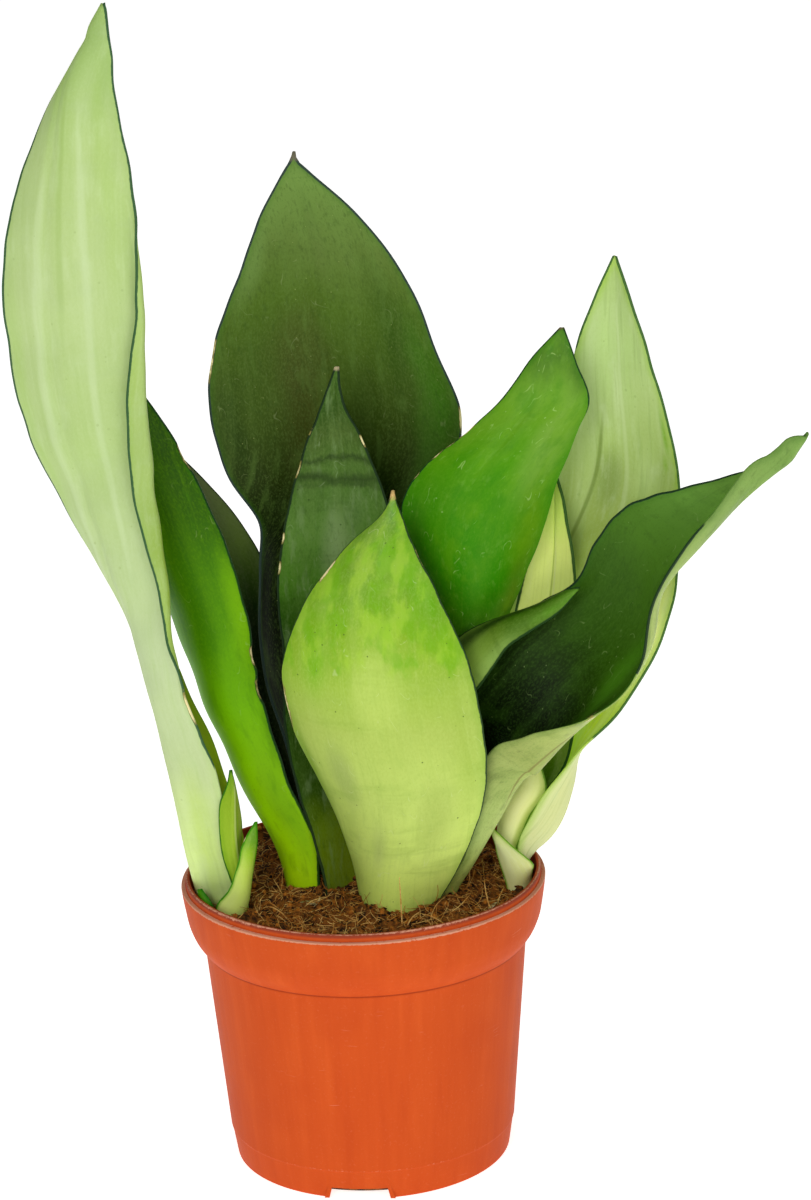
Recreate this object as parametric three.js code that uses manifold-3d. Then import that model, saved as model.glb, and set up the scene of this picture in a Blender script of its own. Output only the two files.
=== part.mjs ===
// Potted moonshine snake plant: shoots of fleshy leaves in an orange plastic pot filled with soil.
// Millimetres, +Z up. The origin is the middle of the pot's foot; the front of the plant faces -Y.

import * as THREE from 'three';
import { mergeVertices } from 'three/addons/utils/BufferGeometryUtils.js';
import Module from 'manifold-3d';

const wasm = await Module();
wasm.setup();

// Driving dimensions of the pot; tunnelEnd and drainPlace are shares of the foot's radius
const potHeight = 97;
const rimRadius = 61;
const footRadius = 46.3;
const wall = 1.3;
const beadHeight = 2.5;
const notchCount = 3;
const notchWidth = 21;
const notchHeight = 4;
const tunnelEnd = 0.48;
const drainPlace = 0.72;
const drainRadius = 3;

// Driving dimensions of the filling and the leaves
const soilLevel = 92;
const fitGap = 0.3;
const slotGap = 0.5;
const leafEdge = 0.8;
const foldRadius = 1.6;
const rowPitch = 13;
const columnCount = 8;
const hemColumns = 5;

// Each leaf is a list of stations from the foot to the tip. A station holds a point on the left
// margin, a point on the right margin, how far the midrib stands back from the line between them
// (negative where the midrib bulges to the front) and how far it leans to the right.
// The tall leaf adds the width of its rolled right edge and the angle through which it is rolled.
const leaves = {
  leaf_tall_left: {
    colour: '#b4cf94', body: 1.1, keel: 1.8,
    stations: [
      [[-44.5, -3, 80], [-44, -12, 80], -7, 0, 2, 0],
      [[-45, 0, 92], [-44.5, -13, 92], -8.5, 0, 2, 0],
      [[-46, 0, 108], [-45, -14, 109], -11, 0, 2, 0],
      [[-49.5, 2, 133.5], [-47.5, -17, 135.5], -12, 0, 2, 0],
      [[-58, 3, 166.5], [-56.5, -21, 171], -9.5, 0, 2.5, 25],
      [[-66, 4, 185], [-59, -22, 188.5], -8, 0, 4.5, 110],
      [[-77.5, 2, 202], [-60, -22, 204.5], -6.5, 0, 5.5, 160],
      [[-90, 0, 224.5], [-62.5, -20, 234.5], -6, 0, 10, 165],
      [[-103, 0, 257], [-64.5, -18, 265.5], -6, 0, 9.8, 165],
      [[-107.5, 0, 303.5], [-64, -15, 305.5], -6, 0, 5, 160],
      [[-103.5, 0, 328], [-66, -13, 330], -6, 0, 3.6, 60],
      [[-97.5, 0, 344], [-68, -12, 346.5], -6, 0, 3, 0],
      [[-85.5, 0, 367.5], [-70.5, -10, 370], -6, 0, 2.5, 0],
      [[-79.6, -1, 375.5], [-70.4, -8.5, 378], -4.5, 0, 2, 0],
      [[-75.3, -1, 380.5], [-70.2, -8, 382.5], -3.5, 0, 1.5, 0],
      [[-73.8, -1, 385], [-70, -7, 387], -3, 0, 1, 0],
      [[-70.5, -5, 393.5], [-70, -6, 394], 0, 0, 0.5, 0],
    ],
  },
  leaf_front_broad: {
    colour: '#9dbd55', body: 1.15, keel: 2,
    stations: [
      [[0, -10, 80], [21, -14, 80], -8],
      [[-1, -9, 92], [24, -18, 92], -10],
      [[-3.5, -3, 104.5], [33, -20, 109], -12],
      [[-10.5, -5, 127.5], [41, -24, 133], -12],
      [[-21.5, -9, 155], [41, -26, 156.5], -11],
      [[-23, -12, 177], [37, -26, 179], -9],
      [[-15, -14, 198], [29, -24, 199.5], -7],
      [[0, -16, 217.5], [20.5, -22, 218.5], -4],
      [[11.5, -18, 228.5], [17, -20, 228.5], -1.5],
      [[13.5, -19, 232.5], [15.5, -19, 232.5], -0.5],
      [[14.5, -19, 236], [15, -19, 236], 0],
    ],
  },
  leaf_twisted_right: {
    colour: '#2f5d1c', body: 1, keel: 2,
    stations: [
      [[22, -1, 80], [23, -10, 80], 5, 0],
      [[22, -1, 92], [24, -13, 92], 6, 0],
      [[25, 2, 110], [33, -17, 107], 7, 3],
      [[32, 4, 130], [38.5, -20, 125.5], 10, 7],
      [[31, 3, 160.5], [44, -20, 146.5], 15, 21],
      [[43.5, 0, 173], [55.5, -26, 153.5], 13, 17],
      [[63, -4, 192.5], [74.5, -34, 161], 11.5, 8],
      [[73, -6, 198.5], [84.5, -37, 168.5], 9, 3],
      [[80, -9, 213.5], [92, -39, 181], 10, 4],
      [[88, -12, 224], [96, -40, 200.5], 9, 3],
      [[97.5, -16, 230], [106.5, -40, 219.5], 11, 4],
      [[110, -22, 234.5], [118.5, -41, 234.5], 9, 2],
      [[122.5, -28, 239.5], [126, -42, 244.5], 7, 0],
      [[134, -35, 245.5], [134, -45, 252], 5, -1],
      [[141, -41, 252], [140, -48, 257], 4, -1],
      [[145, -49, 258.5], [144.5, -50, 257.5], 0, 0],
    ],
  },
  leaf_green_right: {
    colour: '#4f9626', body: 1, keel: 2,
    stations: [
      [[13, 5, 80], [19, 7, 80], -3],
      [[13, 6, 92], [21, 9, 92], -4],
      [[18, 10, 126], [29, 14, 124], -6],
      [[23, 12, 161], [42, 15, 155], -8],
      [[22, 9, 196], [51, 7.5, 184], -9],
      [[17.5, 3, 223], [60, 1, 207], -9],
      [[25.5, 2, 238], [68, -2, 231.5], -8],
      [[39.5, 0, 249.5], [75.5, -2, 250], -5],
      [[50.5, 0, 259], [79, -2, 258.5], -3],
      [[60.5, 0, 272.5], [75.5, -1, 271], -2],
      [[70.5, 0, 283], [71.5, 0, 283], 0],
    ],
  },
  leaf_pale_right: {
    colour: '#bfd189', body: 1, keel: 1.6,
    stations: [
      [[47.5, 13, 80], [50.5, -1, 80], 4],
      [[48, 13, 92], [51.5, -3, 92], 4.5],
      [[48.5, 13, 98.5], [51.5, -4, 98.5], 4],
      [[49.5, 13, 104], [52, -5, 106.5], 7.5],
      [[52.5, 15, 114], [56, -6, 116.5], 11.8],
      [[55, 15, 127], [63, -6, 128], 12.2],
      [[56.5, 15, 140], [72, -6, 139], 10],
      [[57.5, 15, 156], [86.5, -6, 153.5], 7.5],
      [[51.5, 14.5, 176], [101, -6, 178], 8],
      [[54.5, 13.5, 200.5], [107, -4, 203], 8],
      [[67, 14, 228], [108, 0, 229], 7],
      [[72.5, 14, 255], [103, 4, 257], 5],
      [[78.5, 13, 280.5], [96.5, 6, 280.5], 4],
      [[84.5, 12, 294.5], [92, 8, 295], 2],
      [[88.5, 10, 303.5], [89.5, 10, 303.5], 0],
    ],
  },
  leaf_young_right: {
    colour: '#c6d07a', body: 0.8, keel: 1.6,
    stations: [
      [[47.5, 8.5, 80], [48.5, 7.5, 80], 0],
      [[48, 8.5, 92], [49.5, 7.5, 92], 0],
      [[48, 9, 99], [50, 7.5, 99], 0.5],
      [[49.5, 11, 112], [54.5, 7, 112], 1.5],
      [[51, 11, 133], [68.5, 4, 132], 3],
      [[50, 10, 145], [72, 3, 144.5], 4],
      [[50, 10, 160], [73.5, 3, 158.5], 4],
      [[53, 9, 182], [73.5, 3, 179.5], 4],
      [[57, 9, 197.5], [73.5, 3, 197], 3],
      [[62, 8, 216.5], [71.5, 4, 218], 2],
      [[67, 6, 236], [67.5, 6, 236], 0],
    ],
  },
  sheath_right: {
    colour: '#dde2b4', body: 0.7, keel: 2,
    stations: [
      [[47.5, -6, 81], [54.5, -5, 81], -1],
      [[48, -7, 92], [55.5, -6, 92], -2],
      [[46.5, -8, 99.5], [56.5, -7, 99.5], -3.5],
      [[45, -8, 106], [56.5, -9, 102.5], -3],
      [[44.5, -8, 110.5], [49.5, -10, 109.5], -1.5],
      [[43, -8, 115.5], [43.5, -8, 115], 0],
    ],
  },
  leaf_inner_right: {
    colour: '#c9d592', body: 0.9, keel: 2,
    stations: [
      [[47.5, 5.5, 80], [49, 1, 80], -0.5],
      [[48, 5.5, 92], [50, 1, 92], -0.5],
      [[47.5, 5, 98], [51, 0, 98], -1],
      [[46, 4, 105.5], [51.5, -2, 106], -2.5],
      [[46.5, 4, 116], [56.5, -3, 117.5], -4],
      [[51.5, 4, 127.5], [62, -2, 126.5], -4],
      [[55, 4, 135.5], [60, 0, 135], -2],
      [[56, 3, 145], [56.5, 3, 145], 0],
    ],
  },
  leaf_hooked_small: {
    colour: '#7f9a5c', body: 0.8, keel: 1.8,
    stations: [
      [[14, -3, 80], [15, -8, 80], -1],
      [[15, -3, 92], [17, -9, 92], -1.5],
      [[19, -2, 124], [22.5, -13, 125.5], -3],
      [[25.5, -2, 158.5], [29.5, -15, 157.5], -3],
      [[34, -3, 179.5], [41, -16, 168], -3],
      [[51, -7, 189], [51, -16, 181.5], -3],
      [[64, -12, 195], [62.5, -17, 189], -2],
      [[70, -15, 199], [68, -18, 193.5], -1],
      [[74, -17, 200.5], [73, -17, 199], 0],
    ],
  },
  leaf_dark_banded: {
    colour: '#2f5a1e', body: 1, keel: 2.2,
    stations: [
      [[-12, -7, 80], [9, 2, 80], 5],
      [[-12, -8, 92], [10, 3, 92], 6],
      [[-15.5, -3, 109.5], [11.5, 4, 108.5], 6],
      [[-20.5, 0, 128], [15, 5, 128.5], 6],
      [[-24, 4, 148], [17, 5, 149], 6],
      [[-23.5, 8, 173], [19, 5, 174], 5],
      [[-24.5, 9, 195], [18.5, 5, 197], 4],
      [[-20, 9, 222.5], [13.5, 5, 222], 3],
      [[-13, 9, 245], [6, 6, 245], 2],
      [[-6, 9, 261.5], [-1, 8, 262], 0.5],
      [[-2.5, 8.5, 270.5], [-1.5, 8.5, 270.5], 0],
    ],
  },
  leaf_dark_broad: {
    colour: '#33501f', body: 1.1, keel: 2.2,
    stations: [
      [[-10, 8, 80], [-5, 17, 80], -1],
      [[-11, 7, 92], [-4, 19, 92], -1],
      [[-17.5, 8, 111], [-4.5, 21, 107], 1],
      [[-23.5, 9, 138.5], [-10, 23, 134.5], 3],
      [[-31, 13, 171.5], [-17, 25, 169], 4],
      [[-30.5, 17, 200], [-14, 25, 198.5], 5],
      [[-30, 20, 215.5], [6, 25, 209.5], 6],
      [[-39, 22, 230], [29, 23, 225], 7],
      [[-44.5, 22, 255.5], [38, 21, 248.5], 8],
      [[-42, 22, 276], [31.5, 21, 268.5], 7],
      [[-33, 23, 298], [22.5, 21, 293.5], 5],
      [[-24.5, 24, 319], [5.5, 23, 318.5], 3],
      [[-16.5, 25, 332.5], [-9.5, 25, 332.5], 1],
      [[-14.5, 25, 335.5], [-12.5, 25, 335.5], 0.5],
      [[-13.5, 25, 338.5], [-13, 25, 338.5], 0],
    ],
  },
  leaf_green_left: {
    colour: '#63a313', body: 1.1, keel: 2,
    stations: [
      [[-22, 10, 80], [-16, -1, 80], -4],
      [[-23, 11, 92], [-15, -3, 92], -5],
      [[-27, 14, 104.5], [-15, -1, 107], -6],
      [[-38.5, 17, 130.5], [-24, 1, 131.5], -8],
      [[-51.5, 18, 158.5], [-31.5, 3, 162], -8],
      [[-62.5, 18, 190.5], [-35.5, 5, 191.5], -7],
      [[-75.5, 16, 222.5], [-44, 8, 220.5], -6],
      [[-79.5, 16, 246.5], [-55.5, 10, 246.5], -5],
      [[-80, 15, 269], [-69, 12, 268.5], -2],
      [[-79, 14, 285], [-78, 14, 285], 0],
    ],
  },
  leaf_grey_left: {
    colour: '#56663f', body: 0.9, keel: 2,
    stations: [
      [[-16, 10, 80], [-11, 14, 80], -1],
      [[-17, 12, 92], [-10, 16, 92], -1.5],
      [[-28, 21, 117], [-18.5, 22, 118], -3],
      [[-40.5, 27, 155], [-27, 28, 157.5], -3],
      [[-46.5, 29, 183], [-28, 30, 189], -3],
      [[-55, 29, 211], [-34, 30, 208.5], -3],
      [[-60, 28, 227], [-46.5, 29, 226.5], -2],
      [[-61.5, 27, 243], [-60.5, 27, 243], 0],
    ],
  },
  leaf_inner_left: {
    colour: '#8fa03a', body: 0.8, keel: 2,
    stations: [
      [[-43, -3, 80], [-41.5, -8, 80], 2],
      [[-43, -3, 92], [-41, -9, 92], 3],
      [[-45, -2, 115.5], [-44, -11, 117], 4],
      [[-51, -3, 139], [-50, -13, 141], 4.5],
      [[-58, -5, 164.5], [-57, -12, 165.5], 3],
      [[-61.5, -9, 183.5], [-60.5, -9, 183.5], 0],
    ],
  },
  leaf_bud_left: {
    colour: '#9cc23c', body: 0.6, keel: 1.3,
    stations: [
      [[-40.5, -15, 80], [-39, -12.5, 80], -0.5],
      [[-41, -16.5, 92], [-39.5, -14, 92], -1],
      [[-46, -17, 114.5], [-40.5, -13, 110.5], -2.5],
      [[-46, -18, 130], [-39.5, -15, 123], -2.5],
      [[-43, -18, 138], [-40.5, -17, 134.5], -1],
      [[-42, -18, 142.5], [-41.5, -18, 142.5], 0],
    ],
  },
  sheath_left: {
    colour: '#b9cf86', body: 0.7, keel: 2,
    stations: [
      [[-45.5, -19, 82], [-39.5, -17.5, 82], -2],
      [[-48, -22, 97], [-39.5, -19, 92], -3],
      [[-44.5, -21.5, 101], [-38, -19, 97], -3],
      [[-41, -21, 110], [-36.5, -19, 106], -2],
      [[-39, -20, 117], [-35, -19, 115], -1],
      [[-34.5, -19, 124.5], [-34, -19, 124.5], 0],
    ],
  },
  scale_left: {
    colour: '#4fae1c', body: 0.6, keel: 2,
    stations: [
      [[-51.5, -17.5, 84], [-50, -19.5, 84], -0.5],
      [[-52.5, -17.5, 93], [-49.5, -20.5, 93], -0.5],
      [[-53.5, -17, 97], [-50.5, -20, 97], -1],
      [[-54.5, -16.5, 100.5], [-53.5, -17.5, 101], -0.5],
    ],
  },
};

// A smooth curve through values that are set at uneven knots, so a long span doesn't bulge
function smoothAt(knots, values, s) {
  const last = knots.length - 1;
  let i = 0;
  while (i < last - 1 && s >= knots[i + 1]) i += 1;
  const step = (k) => (values[k + 1] - values[k]) / (knots[k + 1] - knots[k]);
  const slope = (k) => {
    if (k === 0) return step(0);
    if (k === last) return step(last - 1);
    const before = knots[k] - knots[k - 1];
    const after = knots[k + 1] - knots[k];
    return (step(k - 1) * after + step(k) * before) / (before + after);
  };
  const span = knots[i + 1] - knots[i];
  const t = (s - knots[i]) / span;
  return (2 * t ** 3 - 3 * t ** 2 + 1) * values[i]
    + (t ** 3 - 2 * t ** 2 + t) * span * slope(i)
    + (3 * t ** 2 - 2 * t ** 3) * values[i + 1]
    + (t ** 3 - t ** 2) * span * slope(i + 1);
}

// Distances along the middle of a leaf at which its stations stand
function stationKnots(stations) {
  const middles = stations.map(([left, right]) => (
    new THREE.Vector3(...left).add(new THREE.Vector3(...right)).multiplyScalar(0.5)));
  const knots = [0];
  for (let i = 1; i < middles.length; i += 1) {
    knots.push(knots[i - 1] + middles[i].distanceTo(middles[i - 1]));
  }
  return knots;
}

// Rows of points on the middle surface of a leaf, from its left margin to its right one
function leafSurface(leaf, grow) {
  const { stations, keel } = leaf;
  const knots = stationKnots(stations);
  const length = knots[knots.length - 1];
  const channel = (pick) => stations.map((station) => pick(station) ?? 0);
  const at = (pick, s) => smoothAt(knots, channel(pick), s);
  const point = (side, s) => new THREE.Vector3(
    at((station) => station[side][0], s),
    at((station) => station[side][1], s),
    at((station) => station[side][2], s));
  const middle = (s) => point(0, s).add(point(1, s)).multiplyScalar(0.5);
  const rowCount = Math.max(8, Math.round(length / rowPitch));
  const rolled = stations[0].length > 4;
  const rows = [];
  for (let r = 0; r <= rowCount; r += 1) {
    const s = length * (r / rowCount) ** 1.25;
    const ahead = middle(Math.min(s + 1, length)).sub(middle(Math.max(s - 1, 0))).normalize();
    const left = point(0, s);
    const right = point(1, s);
    const across = right.clone().sub(left);
    const halfWidth = across.length() / 2;
    const centre = left.add(right).multiplyScalar(0.5);
    across.normalize();
    const back = ahead.clone().cross(across).normalize();
    const depth = at((station) => station[2], s);
    const lean = at((station) => station[3], s);
    if (r === 0) centre.addScaledVector(ahead, -grow);
    const reachOut = 1 + grow / Math.hypot(halfWidth, depth * keel);
    const row = [];
    for (let c = 0; c <= columnCount; c += 1) {
      const t = Math.sin((c / columnCount - 0.5) * Math.PI) * reachOut;
      const belly = 1 - Math.abs(t) ** keel;
      row.push({
        place: centre.clone().addScaledVector(across, t * halfWidth + lean * belly)
          .addScaledVector(back, depth * belly),
        cover: Math.max(1 - t * t, 0),
        along: s / length,
      });
    }
    if (rolled) {
      const edge = row[columnCount].place;
      const outward = edge.clone().sub(row[columnCount - 1].place).normalize();
      const front = outward.clone().cross(ahead).normalize();
      const width = Math.max(at((station) => station[4], s), 0.4) + grow;
      const degrees = THREE.MathUtils.clamp(at((station) => station[5], s), 0.5, 170);
      const turn = THREE.MathUtils.degToRad(degrees);
      const arc = Math.min(foldRadius * turn, width * 0.8);
      const radius = arc / turn;
      for (let h = 1; h <= hemColumns; h += 1) {
        const reach = width * h / hemColumns;
        const angle = turn * Math.min(reach, arc) / arc;
        const flat = Math.max(reach - arc, 0);
        row.push({
          place: edge.clone()
            .addScaledVector(outward, radius * Math.sin(angle) + flat * Math.cos(angle))
            .addScaledVector(front, radius * (1 - Math.cos(angle)) + flat * Math.sin(angle)),
          cover: 0,
          along: s / length,
        });
      }
    }
    rows.push(row);
  }
  return rows;
}

// A closed solid around the middle surface: thick and fleshy at the foot, thin at the margins
function leafGeometry(leaf, grow = 0) {
  const rows = leafSurface(leaf, grow);
  const columns = rows[0].length;
  const positions = [];
  rows.forEach((row, r) => {
    const below = rows[Math.max(r - 1, 0)];
    const above = rows[Math.min(r + 1, rows.length - 1)];
    const normals = row.map((cell, c) => {
      const ahead = above[c].place.clone().sub(below[c].place);
      const across = row[Math.min(c + 1, columns - 1)].place.clone()
        .sub(row[Math.max(c - 1, 0)].place);
      return ahead.cross(across).normalize();
    });
    const skin = row.map(({ cover, along }) => {
      const flesh = 1.2 + (1 - along ** 3) + 1.6 * (1 - along) ** 4;
      return (leafEdge + Math.max(flesh * leaf.body - leafEdge, 0) * cover) / 2 + grow;
    });
    row.forEach(({ place }, c) => {
      positions.push(...place.clone().addScaledVector(normals[c], skin[c]).toArray());
    });
    for (let c = columns - 1; c >= 0; c -= 1) {
      positions.push(...row[c].place.clone().addScaledVector(normals[c], -skin[c]).toArray());
    }
  });
  const ring = columns * 2;
  const indices = [];
  const quad = (a, b, c, d) => indices.push(a, b, c, a, c, d);
  for (let r = 0; r < rows.length - 1; r += 1) {
    for (let j = 0; j < ring; j += 1) {
      const next = (j + 1) % ring;
      quad(r * ring + j, (r + 1) * ring + j, (r + 1) * ring + next, r * ring + next);
    }
  }
  const top = (rows.length - 1) * ring;
  for (let c = 0; c < columns - 1; c += 1) {
    quad(c, c + 1, ring - 2 - c, ring - 1 - c);
    quad(top + ring - 1 - c, top + ring - 2 - c, top + c + 1, top + c);
  }
  const geometry = new THREE.BufferGeometry();
  geometry.setAttribute('position', new THREE.Float32BufferAttribute(positions, 3));
  geometry.setIndex(indices);
  return geometry;
}

// Conversions between three.js geometry and closed solids for cuts and joins
function toSolid(geometry) {
  const bare = geometry.clone();
  bare.deleteAttribute('normal');
  bare.deleteAttribute('uv');
  const merged = mergeVertices(bare, 1e-4);
  return new wasm.Manifold(new wasm.Mesh({
    numProp: 3,
    vertProperties: new Float32Array(merged.attributes.position.array),
    triVerts: new Uint32Array(merged.index.array),
  }));
}

function toGeometry(solid) {
  const mesh = solid.getMesh();
  const geometry = new THREE.BufferGeometry();
  geometry.setAttribute('position', new THREE.BufferAttribute(mesh.vertProperties.slice(), 3));
  geometry.setIndex(new THREE.BufferAttribute(mesh.triVerts.slice(), 1));
  return geometry;
}

// A LatheGeometry turned about Z from [radius, height] pairs that run up the outside
function turned(profile, segments) {
  const points = profile.map(([radius, height]) => new THREE.Vector2(radius, height));
  return new THREE.LatheGeometry(points, segments).rotateX(Math.PI / 2);
}

// The pot: a tapered wall under a deep collar, with a raised bead inside the lip
const collarFoot = potHeight - 21.5;
const beadRadius = rimRadius - 3;
const potOutside = [
  [0, 0],
  [footRadius - 0.8, 0],
  [footRadius, 0.8],
  [footRadius + 1.6, 10.2],
  [footRadius + 1.9, 10.7],
  [rimRadius - 7, collarFoot],
  [rimRadius - 5.9, collarFoot + 1],
  [rimRadius - 3.6, collarFoot + 4.2],
  [rimRadius - 1.9, potHeight - 13],
  [rimRadius - 1.2, potHeight - 9],
  [rimRadius - 0.4, potHeight - 4],
  [rimRadius - 0.1, potHeight - 1.6],
  [rimRadius, potHeight - 0.8],
  [rimRadius - 0.3, potHeight],
  [rimRadius - 1.4, potHeight + 0.1],
  [rimRadius - 1.7, potHeight + beadHeight - 0.4],
  [rimRadius - 2.2, potHeight + beadHeight],
];
const potInside = [
  [beadRadius, potHeight + beadHeight - 0.4],
  [beadRadius, potHeight - 1.5],
  [rimRadius - 1.6, potHeight - 3],
  [rimRadius - 1.2 - wall, potHeight - 9],
  [rimRadius - 3.8 - wall, collarFoot + 4.6],
  [rimRadius - 7 - wall, collarFoot + 0.4],
  [footRadius + 1.9 - wall, 11],
  [footRadius - wall, 3],
  [footRadius - wall - 1.5, wall],
  [0, wall],
];

// Raised tunnels in the floor that lead from the notches in the foot towards the middle
const notchAngle = (i) => THREE.MathUtils.degToRad(-96 + 360 * i / notchCount);
function tunnels(inner, width, height, outer, base) {
  const shape = new THREE.Shape([
    new THREE.Vector2(-width / 2, base),
    new THREE.Vector2(width / 2, base),
    new THREE.Vector2(width / 2 - height * 0.3, height),
    new THREE.Vector2(-width / 2 + height * 0.3, height),
  ]);
  const all = [];
  for (let i = 0; i < notchCount; i += 1) {
    const bar = new THREE.ExtrudeGeometry(shape, { depth: outer - inner, bevelEnabled: false });
    bar.rotateX(Math.PI / 2).rotateZ(Math.PI / 2).translate(inner, 0, 0).rotateZ(notchAngle(i));
    all.push(toSolid(bar));
  }
  return all.reduce((joined, bar) => joined.add(bar));
}

function potGeometry() {
  const segments = 60;
  const innerEnd = footRadius * tunnelEnd;
  let pot = toSolid(turned([...potOutside, ...potInside], segments));
  const roofWidth = notchWidth + 2 * wall;
  const roofs = tunnels(innerEnd - wall, roofWidth, notchHeight + wall, footRadius - 0.5, 0.2);
  pot = pot.add(roofs).subtract(tunnels(innerEnd, notchWidth, notchHeight, footRadius + 9, -1));
  for (let i = 0; i < notchCount; i += 1) {
    const angle = notchAngle(i);
    const hole = new THREE.CylinderGeometry(drainRadius, drainRadius, 12, 20).rotateX(Math.PI / 2);
    const reach = footRadius * drainPlace;
    hole.translate(reach * Math.cos(angle), reach * Math.sin(angle), 5);
    pot = pot.subtract(toSolid(hole));
  }
  return toGeometry(pot);
}

// The soil: a filling that follows the inside of the pot, with an uneven top
function soilRelief(x, y) {
  const mound = 2.2 * (1 - (x * x + y * y) / 3300);
  return mound + 0.9 * Math.sin(x * 0.31 + 0.8) * Math.cos(y * 0.27)
    + 0.6 * Math.sin(x * 0.13 - y * 0.47 + 2) + 0.4 * Math.cos(x * 0.71 + y * 0.53);
}

function soilGeometry(slotSolids) {
  const side = potInside.slice(3).reverse().filter(([radius]) => radius > 0)
    .map(([radius, height]) => [radius - fitGap * 1.4, Math.max(height, wall + fitGap)]);
  const rimOfSoil = rimRadius - 1.4 - wall;
  const top = [];
  for (let i = 0; i < 7; i += 1) top.push([(rimOfSoil - fitGap) * (1 - i / 7), soilLevel]);
  const body = turned([[0, wall + fitGap], ...side, ...top, [0, soilLevel]], 48);
  const place = body.attributes.position;
  for (let i = 0; i < place.count; i += 1) {
    if (place.getZ(i) > soilLevel - 0.01) {
      place.setZ(i, soilLevel + soilRelief(place.getX(i), place.getY(i)));
    }
  }
  const innerEnd = footRadius * tunnelEnd - wall - fitGap;
  const clearWidth = notchWidth + 2 * (wall + 2 * fitGap);
  const clearHeight = notchHeight + wall + fitGap * 1.3;
  let soil = toSolid(body).subtract(tunnels(innerEnd, clearWidth, clearHeight, rimRadius, -1));
  slotSolids.forEach((slot) => {
    soil = soil.subtract(slot);
  });
  // Thin slivers that the slots cut off drop out, so the filling stays one lump
  const lumps = soil.decompose().sort((a, b) => b.volume() - a.volume());
  return toGeometry(lumps[0]);
}

// Assembly
const group = new THREE.Group();
function addPiece(name, geometry, colour, roughness) {
  const material = new THREE.MeshStandardMaterial({ color: colour, roughness, metalness: 0 });
  const mesh = new THREE.Mesh(geometry, material);
  mesh.name = name;
  group.add(mesh);
}

addPiece('pot', potGeometry(), '#c4552b', 0.5);
const slots = Object.values(leaves).map((leaf) => toSolid(leafGeometry(leaf, slotGap)));
addPiece('soil', soilGeometry(slots), '#4a2f1b', 0.95);
Object.entries(leaves).forEach(([name, leaf]) => {
  addPiece(name, leafGeometry(leaf), leaf.colour, 0.42);
});

export default group;
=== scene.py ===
# Potted moonshine snake plant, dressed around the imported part.
# Leaves, pot and soil keep the places of their CAD nodes.
import math
import random
from types import SimpleNamespace

import bpy
import numpy as np
from mathutils import Matrix, Vector, noise
from mathutils.bvhtree import BVHTree


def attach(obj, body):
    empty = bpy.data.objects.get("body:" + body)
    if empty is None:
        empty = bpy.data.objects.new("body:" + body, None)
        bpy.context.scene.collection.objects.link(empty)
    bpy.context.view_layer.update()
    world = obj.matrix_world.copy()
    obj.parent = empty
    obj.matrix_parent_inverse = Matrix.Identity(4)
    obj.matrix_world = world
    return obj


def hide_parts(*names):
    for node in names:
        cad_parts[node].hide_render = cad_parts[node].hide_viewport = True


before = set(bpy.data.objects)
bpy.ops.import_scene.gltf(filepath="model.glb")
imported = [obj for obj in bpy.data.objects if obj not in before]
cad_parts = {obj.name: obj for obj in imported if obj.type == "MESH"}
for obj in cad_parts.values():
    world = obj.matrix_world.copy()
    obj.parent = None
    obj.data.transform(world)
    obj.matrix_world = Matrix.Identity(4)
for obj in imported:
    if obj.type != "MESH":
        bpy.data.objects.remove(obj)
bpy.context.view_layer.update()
mm = 0.001  # sizes below are in millimetres, the scene is in metres
print("frame loaded:", len(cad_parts), "nodes")


# An sRGB hex colour as the linear colour that sockets take.
def linear(hexColour):
    parts = [int(hexColour[i:i + 2], 16) / 255 for i in (1, 3, 5)]
    return [c / 12.92 if c <= 0.04045 else ((c + 0.055) / 1.055) ** 2.4 for c in parts] + [1.0]


# Adds a node with its settings, values and links, and hands back one output (or all, with out=None).
def addNode(tree, kind, settings=None, sockets=None, out=0):
    node = tree.nodes.new(kind)
    for name, value in (settings or {}).items():
        if name == "stops":  # a colour ramp's (place, hex colour) pairs
            ramp = node.color_ramp
            while len(ramp.elements) < len(value):
                ramp.elements.new(1.0)
            for element, (place, colour) in zip(ramp.elements, value):
                element.position = place
                element.color = linear(colour)
        else:
            setattr(node, name, value)
    for name, value in (sockets or {}).items():
        if isinstance(value, str):
            node.inputs[name].default_value = linear(value)
        elif isinstance(value, bpy.types.NodeSocket):
            tree.links.new(value, node.inputs[name])
        else:
            node.inputs[name].default_value = value
    return node.outputs if out is None else node.outputs[out]


def newMaterial(name):
    material = bpy.data.materials.new(name)
    material.use_nodes = True
    tree = material.node_tree
    tree.nodes.clear()
    shader = tree.nodes.new("ShaderNodeBsdfPrincipled")
    addNode(tree, "ShaderNodeOutputMaterial", None, {"Surface": shader.outputs[0]}, None)
    return material, tree, shader


# Lays a tint over a colour where a mask runs from low to high.
def tintWhere(tree, colour, mask, low, high, strength, tint):
    share = addNode(tree, "ShaderNodeMapRange", {"interpolation_type": "SMOOTHSTEP"},
                    {0: mask, 1: low, 2: high, 3: 0.0, 4: strength})
    return addNode(tree, "ShaderNodeMix", {"data_type": "RGBA"}, {0: share, 6: colour, 7: tint}, 2)


# Uneven tissue whose grain has the given sizes, in the unit of the place that it is read at.
def tissueGrain(tree, place, size, seed, detail=2.0, roughness=0.5):
    scaled = addNode(tree, "ShaderNodeVectorMath", {"operation": "MULTIPLY_ADD"},
                     {0: place, 1: [1 / s for s in size], 2: [seed, seed * 0.7, seed * 1.3]})
    return addNode(tree, "ShaderNodeTexNoise", None,
                   {"Vector": scaled, "Scale": 1.0, "Detail": detail, "Roughness": roughness})


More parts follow.
